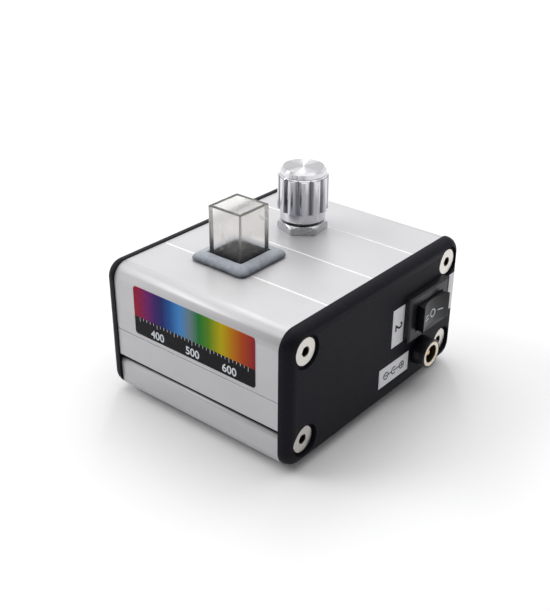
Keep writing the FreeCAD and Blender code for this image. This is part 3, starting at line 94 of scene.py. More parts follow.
def make_camera():
    """Camera at the photo's viewing angle."""
    azimuth = math.radians(CAMERA_AZIMUTH)
    elevation = math.radians(CAMERA_ELEVATION)
    roll = math.radians(CAMERA_ROLL)
    back = Vector((math.sin(azimuth) * math.cos(elevation), -math.cos(azimuth) * math.cos(elevation),
                   math.sin(elevation)))
    right = Vector((math.cos(azimuth), math.sin(azimuth), 0))
    up = back.cross(right)
    turned_right = right * math.cos(roll) + up * math.sin(roll)
    turned_up = up * math.cos(roll) - right * math.sin(roll)
    data = bpy.data.cameras.new("camera")
    data.sensor_width = SENSOR
    data.lens = FOCAL_PIXELS * SENSOR / max(IMAGE_WIDTH, IMAGE_HEIGHT)
    data.shift_x = (IMAGE_WIDTH / 2 - OPTICAL_CENTRE[0]) / max(IMAGE_WIDTH, IMAGE_HEIGHT)
    data.shift_y = (OPTICAL_CENTRE[1] - IMAGE_HEIGHT / 2) / max(IMAGE_WIDTH, IMAGE_HEIGHT)
    data.clip_start = 0.01
    data.clip_end = 20.0
    camera = bpy.data.objects.new("camera", data)
    bpy.context.collection.objects.link(camera)
    rows = Matrix((turned_right, turned_up, back)).transposed().to_4x4()
    camera.matrix_world = Matrix.Translation(CAMERA_PLACE) @ rows
    bpy.context.scene.camera = camera


# Small helpers for shader nodes

def srgb(red, green, blue):
    """Linear colour from 0-255 display values."""
    def linear(value):
        part = value / 255
        return part / 12.92 if part <= 0.04045 else ((part + 0.055) / 1.055) ** 2.4
    return (linear(red), linear(green), linear(blue), 1.0)


class Shader:
    """A material with one Principled shader and short ways to add nodes to it."""

    def __init__(self, name, **values):
        self.material = bpy.data.materials.new(name)
        self.material.use_nodes = True
        self.tree = self.material.node_tree
        self.surface = self.tree.nodes["Principled BSDF"]
        for key, value in values.items():
            self.surface.inputs[key.replace("_", " ").title().replace("Ior", "IOR")].default_value = value

    def node(self, kind, **settings):
        made = self.tree.nodes.new(kind)
        for key, value in settings.items():
            setattr(made, key, value)
        return made

    def link(self, source, target):
        self.tree.links.new(source, target)

    def coordinates(self, scale=(1, 1, 1)):
        """Object coordinates in metres, stretched by scale."""
        place = self.node("ShaderNodeTexCoord")
        mapping = self.node("ShaderNodeMapping")
        mapping.inputs["Scale"].default_value = scale
        self.link(place.outputs["Object"], mapping.inputs["Vector"])
        return mapping.outputs["Vector"]

    def axis(self, letter):
        place = self.node("ShaderNodeTexCoord")
        split = self.node("ShaderNodeSeparateXYZ")
        self.link(place.outputs["Object"], split.inputs[0])
        return split.outputs[letter]

    def square_reach(self, x, y):
        """How far a point is from an upright axis, measured square across."""
        across = self.math("ABSOLUTE", self.math("SUBTRACT", self.axis("X"), x))
        along = self.math("ABSOLUTE", self.math("SUBTRACT", self.axis("Y"), y))
        return self.math("MAXIMUM", across, along)

    def distance(self, first, second):
        """Length of the line that has these two components."""
        squares = [self.math("MULTIPLY", part, part) for part in (first, second)]
        return self.math("SQRT", self.math("ADD", *squares))

    def noise(self, scale, detail=2.0, roughness=0.5, stretch=(1, 1, 1)):
        texture = self.node("ShaderNodeTexNoise")
        texture.inputs["Scale"].default_value = scale
        texture.inputs["Detail"].default_value = detail
        texture.inputs["Roughness"].default_value = roughness
        self.link(self.coordinates(stretch), texture.inputs["Vector"])
        return texture.outputs["Fac"]

    def math(self, operation, first, second=None):
        made = self.node("ShaderNodeMath", operation=operation)
        for socket, value in zip(made.inputs, (first, second)):
            if value is None:
                continue
            if isinstance(value, (int, float)):
                socket.default_value = value
            else:
                self.link(value, socket)
        return made.outputs[0]

    def range(self, value, from_low, from_high, to_low, to_high):
        made = self.node("ShaderNodeMapRange")
        self.link(value, made.inputs["Value"])
        limits = {"From Min": from_low, "From Max": from_high, "To Min": to_low, "To Max": to_high}
        for key, number in limits.items():
            made.inputs[key].default_value = number
        return made.outputs["Result"]

    def spread(self, value, low=0, high=1, half=0.2):
        """Noise, which mostly stays near 0.5, stretched over low to high."""
        return self.range(value, 0.5 - half, 0.5 + half, low, high)

    def blend(self, factor, first, second):
        made = self.node("ShaderNodeMix", data_type="RGBA")
        self.link(factor, made.inputs["Factor"])
        colour_sockets = [s for s in made.inputs if s.type == "RGBA"]
        for socket, value in zip(colour_sockets, (first, second)):
            if isinstance(value, tuple):
                socket.default_value = value
            else:
                self.link(value, socket)
        return [s for s in made.outputs if s.type == "RGBA"][0]

    def colour(self, output):
        self.link(output, self.surface.inputs["Base Color"])

    def roughness(self, output):
        self.link(output, self.surface.inputs["Roughness"])

    def bump(self, height, strength, distance, under=None):
        made = self.node("ShaderNodeBump")
        made.inputs["Strength"].default_value = strength
        made.inputs["Distance"].default_value = distance
        self.link(height, made.inputs["Height"])
        if under is not None:
            self.link(under, made.inputs["Normal"])
        self.link(made.outputs["Normal"], self.surface.inputs["Normal"])
        return made.outputs["Normal"]


def mottled(shader, first, second, scale):
    """Base colour that drifts a little between two tones."""
    drift = shader.spread(shader.noise(scale, 3.0), half=0.25)
    shader.colour(shader.blend(drift, first, second))


# Case: painted highlight along the fine grooves on its top, and painted shade in the gap between the shells
# and round the cuvette's hole
GROOVE_PLACES = (-21 * MM, 0.0, 21 * MM)
GROOVE_HALF = 0.32 * MM
GROOVE_DEPTH = 0.6 * MM
GAP_SET_IN = 0.5 * MM
GAP_FADE_LOW = GAP_Z - 0.65 * MM
GAP_FADE_HIGH = GAP_Z - 0.2 * MM
GAP_TOP = UPPER_EDGE_Z + 1.5 * MM
CELL_HOLE_SHADE = 1.4 * MM


def satin_aluminium():
    """Bead blasted and anodised: fine grain and faint lines along the extrusion, painted highlight and
    shade.
    """
    shader = Shader("satin_aluminium", metallic=0.3, specular_ior_level=0.5)
    tone = shader.spread(shader.noise(60, 3.0))
    base = shader.blend(tone, srgb(202, 201, 203), srgb(207, 206, 208))
    y = shader.axis("Y")
    z = shader.axis("Z")
    # Painted highlight: the fine grooves on the top are coloured near white, as their flanks would catch
    # the light.
    groove = None
    for place in GROOVE_PLACES:
        away = shader.math("ABSOLUTE", shader.math("SUBTRACT", y, place))
        near = shader.math("LESS_THAN", away, GROOVE_HALF)
        groove = near if groove is None else shader.math("MAXIMUM", groove, near)
    top = shader.math("GREATER_THAN", z, TOP_Z - GROOVE_DEPTH)
    highlit_grooves = shader.blend(shader.math("MULTIPLY", groove, top), base, srgb(253, 253, 253))
    # Painted shade: the tongue and shoulder hidden in the gap between the shells fade to dark.
    depth = shader.math("SUBTRACT", HALF_WIDTH, shader.math("ABSOLUTE", y))
    hidden = shader.math("GREATER_THAN", depth, GAP_SET_IN)
    above = shader.range(z, GAP_FADE_LOW, GAP_FADE_HIGH, 0, 1)
    below = shader.math("LESS_THAN", z, GAP_TOP)
    gap_shade = shader.math("MULTIPLY", hidden, shader.math("MULTIPLY", above, below))
    # Painted shade: the case round the cuvette's hole is coloured dark.
    hole_shade = shader.math("LESS_THAN", shader.square_reach(CELL_X, CELL_Y), CELL_HALF + CELL_HOLE_SHADE)
    gap_shade = shader.math("MAXIMUM", gap_shade, hole_shade)
    shader.colour(shader.blend(gap_shade, highlit_grooves, srgb(34, 34, 36)))
    grain = shader.noise(9000, 2.0)
    lines = shader.noise(1, 2.0, stretch=(25, 2600, 2600))
    shader.roughness(shader.spread(grain, 0.38, 0.48))
    first = shader.bump(lines, 0.06, 0.02 * MM)
    shader.bump(grain, 0.22, 0.02 * MM, first)
    return shader.material


def cover_black():
    """Matte black cover with a fine moulded grain."""
    shader = Shader("cover_black", specular_ior_level=0.1)
    tone = shader.spread(shader.noise(900, 3.0), half=0.25)
    base = shader.blend(tone, srgb(18, 17, 24), srgb(24, 23, 31))
    grain = shader.noise(3200, 3.0, 0.6)
    specks = shader.range(grain, 0.56, 0.72, 0, 1)
    shader.colour(shader.blend(specks, base, srgb(46, 46, 54)))
    shader.roughness(shader.spread(grain, 0.45, 0.6))
    coarse = shader.bump(shader.noise(1300, 2.0), 0.25, 0.06 * MM)
    shader.bump(grain, 0.5, 0.04 * MM, coarse)
    return shader.material


def bright_metal(name, first, second, roughness, grain_scale=7000, streak=(1, 1, 1), strength=0.08):
    """Plated, turned or polished metal with a fine grain that may run in one direction."""
    shader = Shader(name, metallic=1.0)
    mottled(shader, first, second, 1500)
    grain = shader.noise(grain_scale, 2.0, stretch=streak)
    shader.roughness(shader.spread(grain, roughness * 0.85, roughness * 1.2))
    shader.bump(grain, strength, 0.01 * MM)
    return shader.material


# Knob: sizes in mm, heights from the top of the case, as the turned part has them
KNOB_CORE = 7.1
KNOB_CREST = 8.0
KNOB_FACE_CHAMFER = 0.7
KNOB_BAND_LOW = 6.9
KNOB_BAND_HIGH = 18.3
KNOB_BAND_CHAMFER = 0.7
KNOB_RIM = 0.2
KNOB_BORE_GAP = 0.02
LOBES = 12
LOBE_CIRCLE = 5.6
LOBE_RADIUS = 2.4
LOBE_TURN = -49.0
LOBE_STEPS = 16
KNOB_CENTRE_HOLE = 0.15
KNOB_STEP = 0.001
KNOB_FACE_DEPTH = 0.01 * MM
KNOB_SHARP_ANGLE = math.radians(28)
# Radii over which the painted shade down in the flutes fades out towards the crests
FLUTE_DARK = 7.62 * MM
FLUTE_BRIGHT = 7.88 * MM


def turned(shader):
    """Lays the fine marks of the lathe round the upright axis."""
    tangent = shader.node("ShaderNodeTangent", direction_type="RADIAL", axis="Z")
    shader.link(tangent.outputs[0], shader.surface.inputs["Tangent"])


def turned_aluminium():
    """Bright turned aluminium with painted shade down in the flutes: fine rings spread the light up and
    down.
    """
    shader = Shader("turned_aluminium", metallic=1.0, anisotropic=0.85, anisotropic_rotation=0.25)
    tone = shader.spread(shader.noise(400, 3.0), half=0.25)
    metal = shader.blend(tone, srgb(212, 212, 216), srgb(222, 222, 225))
    # Painted shade: the band's colour darkens from the crests down into the flutes.
    across = shader.math("SUBTRACT", shader.axis("X"), KNOB_X)
    along = shader.math("SUBTRACT", shader.axis("Y"), KNOB_Y)
    flute_shade = shader.range(shader.distance(across, along), FLUTE_DARK, FLUTE_BRIGHT, 1, 0)
    above = shader.math("GREATER_THAN", shader.axis("Z"), TOP_Z + KNOB_BAND_LOW * MM)
    band_top = TOP_Z + (KNOB_BAND_HIGH - KNOB_BAND_CHAMFER / 2) * MM
    below = shader.math("LESS_THAN", shader.axis("Z"), band_top)
    flute_shade = shader.math("MULTIPLY", flute_shade, shader.math("MULTIPLY", above, below))
    shader.colour(shader.blend(flute_shade, metal, srgb(132, 132, 139)))
    grain = shader.noise(3000, 2.0)
    shader.roughness(shader.spread(grain, 0.12, 0.15))
    turned(shader)
    shader.bump(grain, 0.02, 0.005 * MM)
    return shader.material


def faced_aluminium():
    """End face of the knob: fine rings from the lathe that spread the light outwards."""
    shader = Shader("faced_aluminium", metallic=1.0, anisotropic=0.98, anisotropic_rotation=0.25)
    mottled(shader, srgb(196, 196, 199), srgb(204, 204, 206), 400)
    grain = shader.noise(3000, 2.0)
    shader.roughness(shader.spread(grain, 0.34, 0.38))
    turned(shader)
    shader.bump(grain, 0.03, 0.005 * MM)
    return shader.material


def cover_screw_steel():
    """Bright steel heads, with painted shade in the hexagon sockets."""
    shader = Shader("cover_screw_steel", metallic=1.0)
    tone = shader.spread(shader.noise(1500, 3.0), half=0.25)
    plate = shader.blend(tone, srgb(214, 209, 203), srgb(224, 220, 214))
    # Painted shade: the hexagon sockets are coloured dark.
    across = shader.math("SUBTRACT", shader.math("ABSOLUTE", shader.axis("Y")), SCREW_Y)
    z = shader.axis("Z")
    from_upper = shader.math("ABSOLUTE", shader.math("SUBTRACT", z, SCREW_UPPER_Z))
    from_lower = shader.math("ABSOLUTE", shader.math("SUBTRACT", z, SCREW_LOWER_Z))
    nearest = shader.math("MINIMUM", from_upper, from_lower)
    inside_shade = shader.math("LESS_THAN", shader.distance(across, nearest), SCREW_HEXAGON)
    shader.colour(shader.blend(inside_shade, plate, srgb(96, 90, 78)))
    grain = shader.noise(7000, 2.0)
    shader.roughness(shader.spread(grain, 0.25, 0.36))
    shader.bump(grain, 0.15, 0.01 * MM)
    return shader.material


JACK_FACE_DEPTH = 0.25 * MM


def jack_metal():
    """Pale plated ring, with painted shade down in the socket."""
    shader = Shader("jack_metal", metallic=0.7)
    tone = shader.spread(shader.noise(1500, 3.0), half=0.25)
    plate = shader.blend(tone, srgb(236, 222, 202), srgb(244, 233, 216))
    # Painted shade: everything behind the ring's face is coloured dark brown.
    inside_shade = shader.math("LESS_THAN", shader.axis("X"), JACK_FACE - JACK_FACE_DEPTH)
    shader.colour(shader.blend(inside_shade, plate, srgb(58, 44, 28)))
    grain = shader.noise(7000, 2.0)
    shader.roughness(shader.spread(grain, 0.3, 0.42))
    shader.bump(grain, 0.2, 0.01 * MM)
    return shader.material


def rubber(name, first, second, grain_scale, strength):
    """Soft matte skin with a fine grain."""
    shader = Shader(name, specular_ior_level=0.35)
    mottled(shader, first, second, 700)
    grain = shader.noise(grain_scale, 4.0, 0.6)
    shader.roughness(shader.spread(grain, 0.55, 0.8))
    shader.bump(grain, strength, 0.06 * MM)
    return shader.material


# Collar: half side of its square opening and of its edge of painted shade, in mm, and heights of its
# painted side shade and top light
COLLAR_INNER_HALF = 6.33
COLLAR_SHADE_HALF = 6.63
COLLAR_SIDE_SHADE = COLLAR_LOW.z + 0.4 * MM
COLLAR_TOP_LIGHT = COLLAR_HIGH.z - 0.2 * MM
COLLAR_MOTTLE = 0.18


def soft_collar():
    """Grey blue rubber: painted light along its top, painted shade down its sides and round its opening,
    fine pitted skin.
    """
    shader = Shader("collar_rubber", specular_ior_level=0.35)
    # Painted light and shade: lighter towards the top and darker down the sides, with a random mottle
    # added.
    height = shader.range(shader.axis("Z"), COLLAR_SIDE_SHADE, COLLAR_TOP_LIGHT, 0, 1)
    tone = shader.math("ADD", height, shader.spread(shader.noise(700, 3.0), -COLLAR_MOTTLE, COLLAR_MOTTLE))
    skin = shader.blend(tone, srgb(90, 95, 104), srgb(176, 181, 190))
    # Painted shade: the edge round the cuvette is near black.
    inside_shade = shader.math("LESS_THAN", shader.square_reach(CELL_X, CELL_Y), COLLAR_SHADE_HALF * MM)
    shader.colour(shader.blend(inside_shade, skin, srgb(26, 28, 32)))
    grain = shader.noise(2600, 4.0, 0.6)
    shader.roughness(shader.spread(grain, 0.5, 0.75))
    shader.bump(grain, 0.7, 0.06 * MM)
    return shader.material


def moulded(name, first, second, roughness, grain_scale=2500, strength=0.12, specular=0.5):
    """Moulded plastic, laminate or ceramic."""
    shader = Shader(name, specular_ior_level=specular)
    mottled(shader, first, second, 500)
    grain = shader.noise(grain_scale, 2.0)
    shader.roughness(shader.spread(grain, roughness * 0.85, roughness * 1.15))
    shader.bump(grain, strength, 0.02 * MM)
    return shader.material


# Cuvette: outside skin that is frosted, heights over which the frost grows, scratches and the rim of
# painted shade
CELL_FROST_DEPTH = 0.3 * MM
CELL_FROST_START = TOP_Z - 2.0 * MM
CELL_FROST_FULL = TOP_Z + 12.0 * MM
CELL_FROST_ROUGHNESS = 0.24
CELL_CLEAR_ROUGHNESS = 0.03
CELL_FROST_TRANSMISSION = 0.95
CELL_SCRATCH_WIDTH = 0.009
CELL_SCRATCH_ROUGHNESS = 0.4
CELL_SCRATCHED_SHARE = 0.56
CELL_RIM_DEPTH = 0.12 * MM
CELL_RIM_WIDTH = 0.8 * MM


def clear_cell():
    """Moulded cell: outside frosted towards the top, painted shade along the rim and a few fine scratches.
    """
    shader = Shader("clear_cell", ior=1.35)
    tone = shader.spread(shader.noise(300, 2.0))
    wall = shader.blend(tone, srgb(251, 250, 248), srgb(254, 253, 251))
    reach = shader.square_reach(CELL_X, CELL_Y)
    outside = shader.math("GREATER_THAN", reach, CELL_HALF - CELL_FROST_DEPTH)
    top = shader.math("GREATER_THAN", shader.axis("Z"), CELL_HIGH.z - CELL_RIM_DEPTH)
    # Painted shade: the top rim is coloured dark olive.
    rim = shader.math("MULTIPLY", top, shader.math("GREATER_THAN", reach, CELL_HALF - CELL_RIM_WIDTH))
    contour = shader.math("ABSOLUTE", shader.math("SUBTRACT", shader.noise(230, 1.0), 0.5))
    patch = shader.math("GREATER_THAN", shader.noise(110, 1.0), CELL_SCRATCHED_SHARE)
    scratches = shader.math("MULTIPLY", shader.math("LESS_THAN", contour, CELL_SCRATCH_WIDTH), patch)
    scratched = shader.blend(scratches, wall, srgb(196, 194, 190))
    shader.colour(shader.blend(rim, scratched, srgb(112, 112, 100)))
    frost = shader.range(shader.axis("Z"), CELL_FROST_START, CELL_FROST_FULL, 0, 1)
    through = shader.range(frost, 0, 1, 1.0, CELL_FROST_TRANSMISSION)
    shader.link(through, shader.surface.inputs["Transmission Weight"])
    rough = shader.math("MULTIPLY", frost, shader.math("MULTIPLY", outside, CELL_FROST_ROUGHNESS))
    rough = shader.math("ADD", rough, shader.math("MULTIPLY", scratches, CELL_SCRATCH_ROUGHNESS))
    shader.roughness(shader.math("ADD", rough, CELL_CLEAR_ROUGHNESS))
    shader.bump(shader.noise(5000, 2.0), 0.02, 0.005 * MM)
    return shader.material


def lens_glass():
    """Polished glass with a little dust."""
    shader = Shader("lens_glass", transmission_weight=1.0, ior=1.52)
    dust = shader.range(shader.noise(2500, 2.0), 0.6, 0.8, 0, 1)
    shader.colour(shader.blend(dust, srgb(246, 250, 250), srgb(236, 240, 240)))
    shader.roughness(shader.range(dust, 0, 1, 0.01, 0.1))
    shader.bump(dust, 0.02, 0.005 * MM)
    return shader.material


def board_green():
    """Solder mask over faint copper tracks."""
    shader = Shader("board_green", specular_ior_level=0.5)
    tracks = shader.node("ShaderNodeTexBrick")
    tracks.inputs["Scale"].default_value = 260
    tracks.inputs["Mortar Size"].default_value = 0.03
    shader.link(shader.coordinates(), tracks.inputs["Vector"])
    shader.colour(shader.blend(tracks.outputs["Fac"], srgb(22, 92, 48), srgb(40, 120, 66)))
    shader.roughness(shader.spread(shader.noise(1500), 0.25, 0.4))
    shader.bump(tracks.outputs["Fac"], 0.2, 0.03 * MM)
    return shader.material


# Label: places and tones of its spectrum from one end to the other, and the top of its dark band
LABEL_STOPS = (
    (0.00, (164, 24, 44)), (0.06, (150, 24, 76)), (0.13, (112, 30, 112)), (0.19, (66, 34, 108)),
    (0.25, (34, 42, 112)), (0.32, (36, 92, 164)), (0.40, (74, 144, 214)), (0.49, (112, 136, 142)),
    (0.56, (28, 124, 52)), (0.64, (92, 142, 22)), (0.74, (196, 178, 6)), (0.82, (198, 130, 12)),
    (0.90, (186, 76, 24)), (1.00, (154, 30, 44)),
)
LABEL_BAND_TOP = 30.9 * MM


def printed_label():
    """Film print: a spectrum from one end to the other over a dark band."""
    shader = Shader("printed_label", specular_ior_level=0.08)
    across = shader.range(shader.axis("X"), LABEL_LOW.x, LABEL_HIGH.x, 0, 1)
    ramp = shader.node("ShaderNodeValToRGB")
    elements = ramp.color_ramp.elements
    for element, (place, tone) in zip(elements, (LABEL_STOPS[0], LABEL_STOPS[-1])):
        element.position = place
        element.color = srgb(*tone)
    for place, tone in LABEL_STOPS[1:-1]:
        elements.new(place).color = srgb(*tone)
    shader.link(across, ramp.inputs["Fac"])
    band = shader.math("LESS_THAN", shader.axis("Z"), LABEL_BAND_TOP)
    shader.colour(shader.blend(band, ramp.outputs["Color"], srgb(22, 21, 25)))
    grain = shader.noise(2200, 2.0)
    shader.roughness(shader.spread(grain, 0.25, 0.36))
    shader.bump(grain, 0.05, 0.01 * MM)
    return shader.material


def white_tape():
    """White sticker film, a little uneven where it is stuck down."""
    shader = Shader("white_tape", specular_ior_level=0.4)
    mottled(shader, srgb(244, 245, 248), srgb(250, 250, 253), 350)
    fibres = shader.noise(2600, 3.0)
    shader.roughness(shader.spread(fibres, 0.45, 0.6))
    shader.bump(shader.noise(350, 2.0), 0.15, 0.05 * MM, shader.bump(fibres, 0.1, 0.01 * MM))
    return shader.material


def mark_white():
    """Printed white of the marks and numbers."""
    shader = Shader("mark_white", specular_ior_level=0.4)
    mottled(shader, srgb(222, 228, 236), srgb(232, 236, 242), 2000)
    grain = shader.noise(6000, 2.0)
    shader.roughness(shader.spread(grain, 0.4, 0.55))
    shader.bump(grain, 0.05, 0.005 * MM)
    return shader.material


MATERIALS = {
    "body_aluminium": satin_aluminium(),
    "cover_black": cover_black(),
    "screw_steel": bright_metal("screw_steel", srgb(214, 209, 203), srgb(224, 220, 214), 0.3,
                                strength=0.15),
    "foot_rubber": rubber("foot_rubber", srgb(30, 30, 31), srgb(38, 38, 39), 2500, 0.4),
    "clear_cell": clear_cell(),
    "collar_rubber": soft_collar(),
    "holder_black": moulded("holder_black", srgb(15, 15, 17), srgb(20, 20, 23), 0.55,
                            specular=0.2),
    "lens_glass": lens_glass(),
    "board_green": board_green(),
    "lamp_body": moulded("lamp_body", srgb(236, 232, 214), srgb(242, 239, 224), 0.35),
    "port_metal": bright_metal("port_metal", srgb(196, 196, 193), srgb(206, 206, 203), 0.25,
                               streak=(9000, 300, 300), strength=0.1),
    "nickel": bright_metal("nickel", srgb(206, 207, 208), srgb(216, 217, 218), 0.22, strength=0.1),
    "knob_aluminium": turned_aluminium(),
    "insert_plastic": moulded("insert_plastic", srgb(206, 206, 200), srgb(214, 214, 208), 0.5),
    "can_steel": bright_metal("can_steel", srgb(190, 190, 186), srgb(200, 200, 196), 0.35),
    "wafer_brown": moulded("wafer_brown", srgb(122, 86, 56), srgb(134, 96, 64), 0.55),
    "terminal_tin": bright_metal("terminal_tin", srgb(208, 206, 202), srgb(218, 216, 212), 0.3),
    "switch_black": moulded("switch_black", srgb(21, 21, 25), srgb(26, 26, 31), 0.38, 3600, 0.2, 0.4),
    "brass": bright_metal("brass", srgb(206, 178, 122), srgb(216, 190, 134), 0.25),
    "chip_black": moulded("chip_black", srgb(28, 28, 29), srgb(34, 34, 35), 0.6),
    "ferrite": moulded("ferrite", srgb(56, 56, 58), srgb(64, 64, 66), 0.6, strength=0.3),
    "can_aluminium": bright_metal("can_aluminium", srgb(214, 214, 216), srgb(222, 222, 224), 0.25),
    "connector_white": moulded("connector_white", srgb(228, 225, 214), srgb(234, 231, 222), 0.5),
    "lead_cover": rubber("lead_cover", srgb(172, 34, 30), srgb(182, 42, 36), 1500, 0.1),
    "label_print": printed_label(),
    "sticker_white": white_tape(),
}
COVER_SCREW = cover_screw_steel()
OWN_MATERIALS = {
    "jack_ring": jack_metal(), "switch_end_screws": COVER_SCREW, "fibre_end_screws": COVER_SCREW,
    "control_nut": bright_metal("nut_steel", srgb(176, 177, 180), srgb(202, 203, 205), 0.27, 2600,
                                strength=0.25),
}
MARK_WHITE = mark_white()
KNOB_FACE = faced_aluminium()
PRINT_BLACK = moulded("print_black", srgb(24, 24, 27), srgb(34, 34, 38), 0.6, 6000, 0.1)


# Edge finish of the carried-over CAD nodes: bevel width in mm and the least angle of a rounded edge
BEVELS = {
    "top_shell": 0.12, "bottom_shell": 0.15, "switch_end_screws": 0.12, "fibre_end_screws": 0.12,
    "rubber_feet": 0.2, "cuvette": 0.15, "control_nut": 0.15,
    "fibre_port_nut": 0.25, "fibre_port_washer": 0.1,
    "switch_housing": 0.25, "rocker": 0.2, "jack_barrel": 0.2, "jack_ring": 0.15,
    "switch_end_cover": 0.12, "fibre_end_cover": 0.12,
}
BEVEL_ANGLE = math.radians(28)
WELD_DISTANCE = 1e-6


def soften(obj, width):
    """Joins the split corners of a CAD mesh and rounds its sharp edges."""
    weld = obj.modifiers.new("weld", "WELD")
    weld.merge_threshold = WELD_DISTANCE
    bevel = obj.modifiers.new("bevel", "BEVEL")
    bevel.width = width * MM
    bevel.segments = 2
    bevel.limit_method = "ANGLE"
    bevel.angle_limit = BEVEL_ANGLE
    bevel.harden_normals = True
    bevel.use_clamp_overlap = True


def dress_nodes():
    """Gives every CAD node its material and rounds the edges that show."""
    slots = {part["node"]: part["material_slot"] for part in frame["record"]["subparts"]}
    for name, obj in frame["nodes"].items():
        material = OWN_MATERIALS.get(name, MATERIALS[slots[name]])
        for index in range(max(1, len(obj.material_slots))):
            if not obj.material_slots:
                obj.data.materials.append(material)
            obj.material_slots[index].material = material
        if name in BEVELS:
            soften(obj, BEVELS[name])


def mesh_object(name, vertices, faces, material, smooth=True):
    """Mesh object with its faces turned outwards."""
    mesh = bpy.data.meshes.new(name)
    mesh.from_pydata([tuple(v) for v in vertices], [], faces)
    mesh.materials.append(material)
    mesh.update()
    obj = bpy.data.objects.new(name, mesh)
    bpy.context.collection.objects.link(obj)
    build = bmesh.new()
    build.from_mesh(mesh)
    bmesh.ops.recalc_face_normals(build, faces=build.faces)
    build.to_mesh(mesh)
    build.free()
    if smooth:
        for polygon in mesh.polygons:
            polygon.use_smooth = True
    return obj


def ring_faces(rows, columns, close_rows=False):
    """Faces of a grid whose columns close on themselves."""
    faces = []
    last = rows if close_rows else rows - 1
    for i in range(last):
        for j in range(columns):
            a = i * columns + j
            b = i * columns + (j + 1) % columns
            c = ((i + 1) % rows) * columns + (j + 1) % columns
            d = ((i + 1) % rows) * columns + j
            faces.append((a, b, c, d))
    return faces


# Soft collar round the cuvette: reach and height of its outline in mm
COLLAR_CORNER = 2.2
COLLAR_PROFILE = (
    (0.0, 0.0), (0.0, 1.7), (0.1, 2.35), (0.35, 2.6), (0.9, 2.65), (1.8, 2.5), (2.7, 2.2), (3.35, 1.85),
    (3.8, 1.35), (3.97, 0.85), (3.9, 0.5), (3.6, 0.3), (3.3, 0.22), (3.25, 0.0),
)
COLLAR_STEPS = 56
COLLAR_CORNER_STEPS = 8
COLLAR_INNER_CORNER = 0.35
COLLAR_WAVES = ((350, 0.14), (1500, 0.10))
COLLAR_RAGGED_SCALE = 1500
COLLAR_RISE = 0.6
COLLAR_FOOT = 0.2
COLLAR_RAGGED_SHARE = 0.06
COLLAR_RAGGED = 1.0


def square_path(half, corner):
    """Points round a square with rounded corners, with the outward direction at each."""
    points = []
    for quarter in range(4):
        turn = quarter * math.pi / 2
        across = Vector((math.cos(turn), math.sin(turn)))
        along = Vector((-math.sin(turn), math.cos(turn)))
        straight = half - corner
        for i in range(COLLAR_STEPS):
            share = i / COLLAR_STEPS * 2 - 1
            points.append((across * half + along * straight * share, across))
        for i in range(COLLAR_CORNER_STEPS):
            angle = i / COLLAR_CORNER_STEPS * math.pi / 2
            outward = across * math.cos(angle) + along * math.sin(angle)
            points.append(((across + along) * straight + outward * corner, outward))
    return points


def make_collar():
    """Soft ring with a full round outside, a little uneven along its length."""
    outer_half = (COLLAR_HIGH.x - COLLAR_LOW.x) / 2 / MM
    reach = outer_half - COLLAR_INNER_HALF
    base = COLLAR_LOW.z
    vertices = []
    profile_reach = max(out for out, up in COLLAR_PROFILE)
    for out, up in COLLAR_PROFILE:
        share = out / profile_reach
        corner = COLLAR_INNER_CORNER + (COLLAR_CORNER - COLLAR_INNER_CORNER) * share
        for point, outward in square_path(COLLAR_INNER_HALF + share * reach, corner):
            place = Vector((CELL_X, CELL_Y, base)) + Vector((point.x, point.y, up)) * MM
            wave = sum(noise.noise(place * scale) * height for scale, height in COLLAR_WAVES)
            rise = wave * MM * min(1.0, up)
            side = -wave * MM * share * (1 if up > COLLAR_FOOT else 0.5)
            if share < COLLAR_RAGGED_SHARE:
                side = max(0.0, noise.noise(place * COLLAR_RAGGED_SCALE)) * COLLAR_RAGGED * MM
            vertices.append(place + Vector((outward.x * side, outward.y * side, rise * COLLAR_RISE)))
    count = len(square_path(COLLAR_INNER_HALF, 1))
    faces = ring_faces(len(COLLAR_PROFILE), count, close_rows=True)
    collar = mesh_object("collar_ring", vertices, faces, MATERIALS["collar_rubber"])
    collar.modifiers.new("smooth", "SUBSURF").levels = 1
    collar.modifiers["smooth"].render_levels = 1
    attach(collar, "housing")
    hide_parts("cuvette_collar")


def lobe_radius(step):
    """Distance from the knob's axis to its fluted side, by column."""
    share = (step % LOBE_STEPS) / LOBE_STEPS - 0.5
    angle = share * 2 * math.pi / LOBES
    aside = LOBE_CIRCLE * math.sin(angle)
    return LOBE_CIRCLE * math.cos(angle) + math.sqrt(LOBE_RADIUS ** 2 - aside ** 2)


def knob_profile(side):
    """Radius and height of each row of the knob where its fluted side is this far out, in mm."""
    top = KNOB_HIGH.z / MM
    bottom = KNOB_LOW.z / MM
    case = TOP_Z / MM
    band_low = case + KNOB_BAND_LOW
    band_high = case + KNOB_BAND_HIGH
    bore = (INSERT_HIGH.x - INSERT_LOW.x) / 2 / MM + KNOB_BORE_GAP
    bore_top = INSERT_HIGH.z / MM + KNOB_BORE_GAP
    face = KNOB_CORE - KNOB_FACE_CHAMFER
    chamfer_start = KNOB_CREST - KNOB_BAND_CHAMFER
    cut = max(0.0, side - chamfer_start)
    return (
        (KNOB_CENTRE_HOLE, top), (face / 2, top), (face, top), (KNOB_CORE, top - KNOB_FACE_CHAMFER),
        (KNOB_CORE, band_high), (min(side, chamfer_start), band_high), (side, band_high - cut - KNOB_STEP),
        (side, band_low), (KNOB_CORE, band_low), (KNOB_CORE, bottom + KNOB_RIM),
        (KNOB_CORE - KNOB_RIM, bottom), (bore, bottom), (bore, bore_top), (KNOB_CENTRE_HOLE, bore_top),
    )


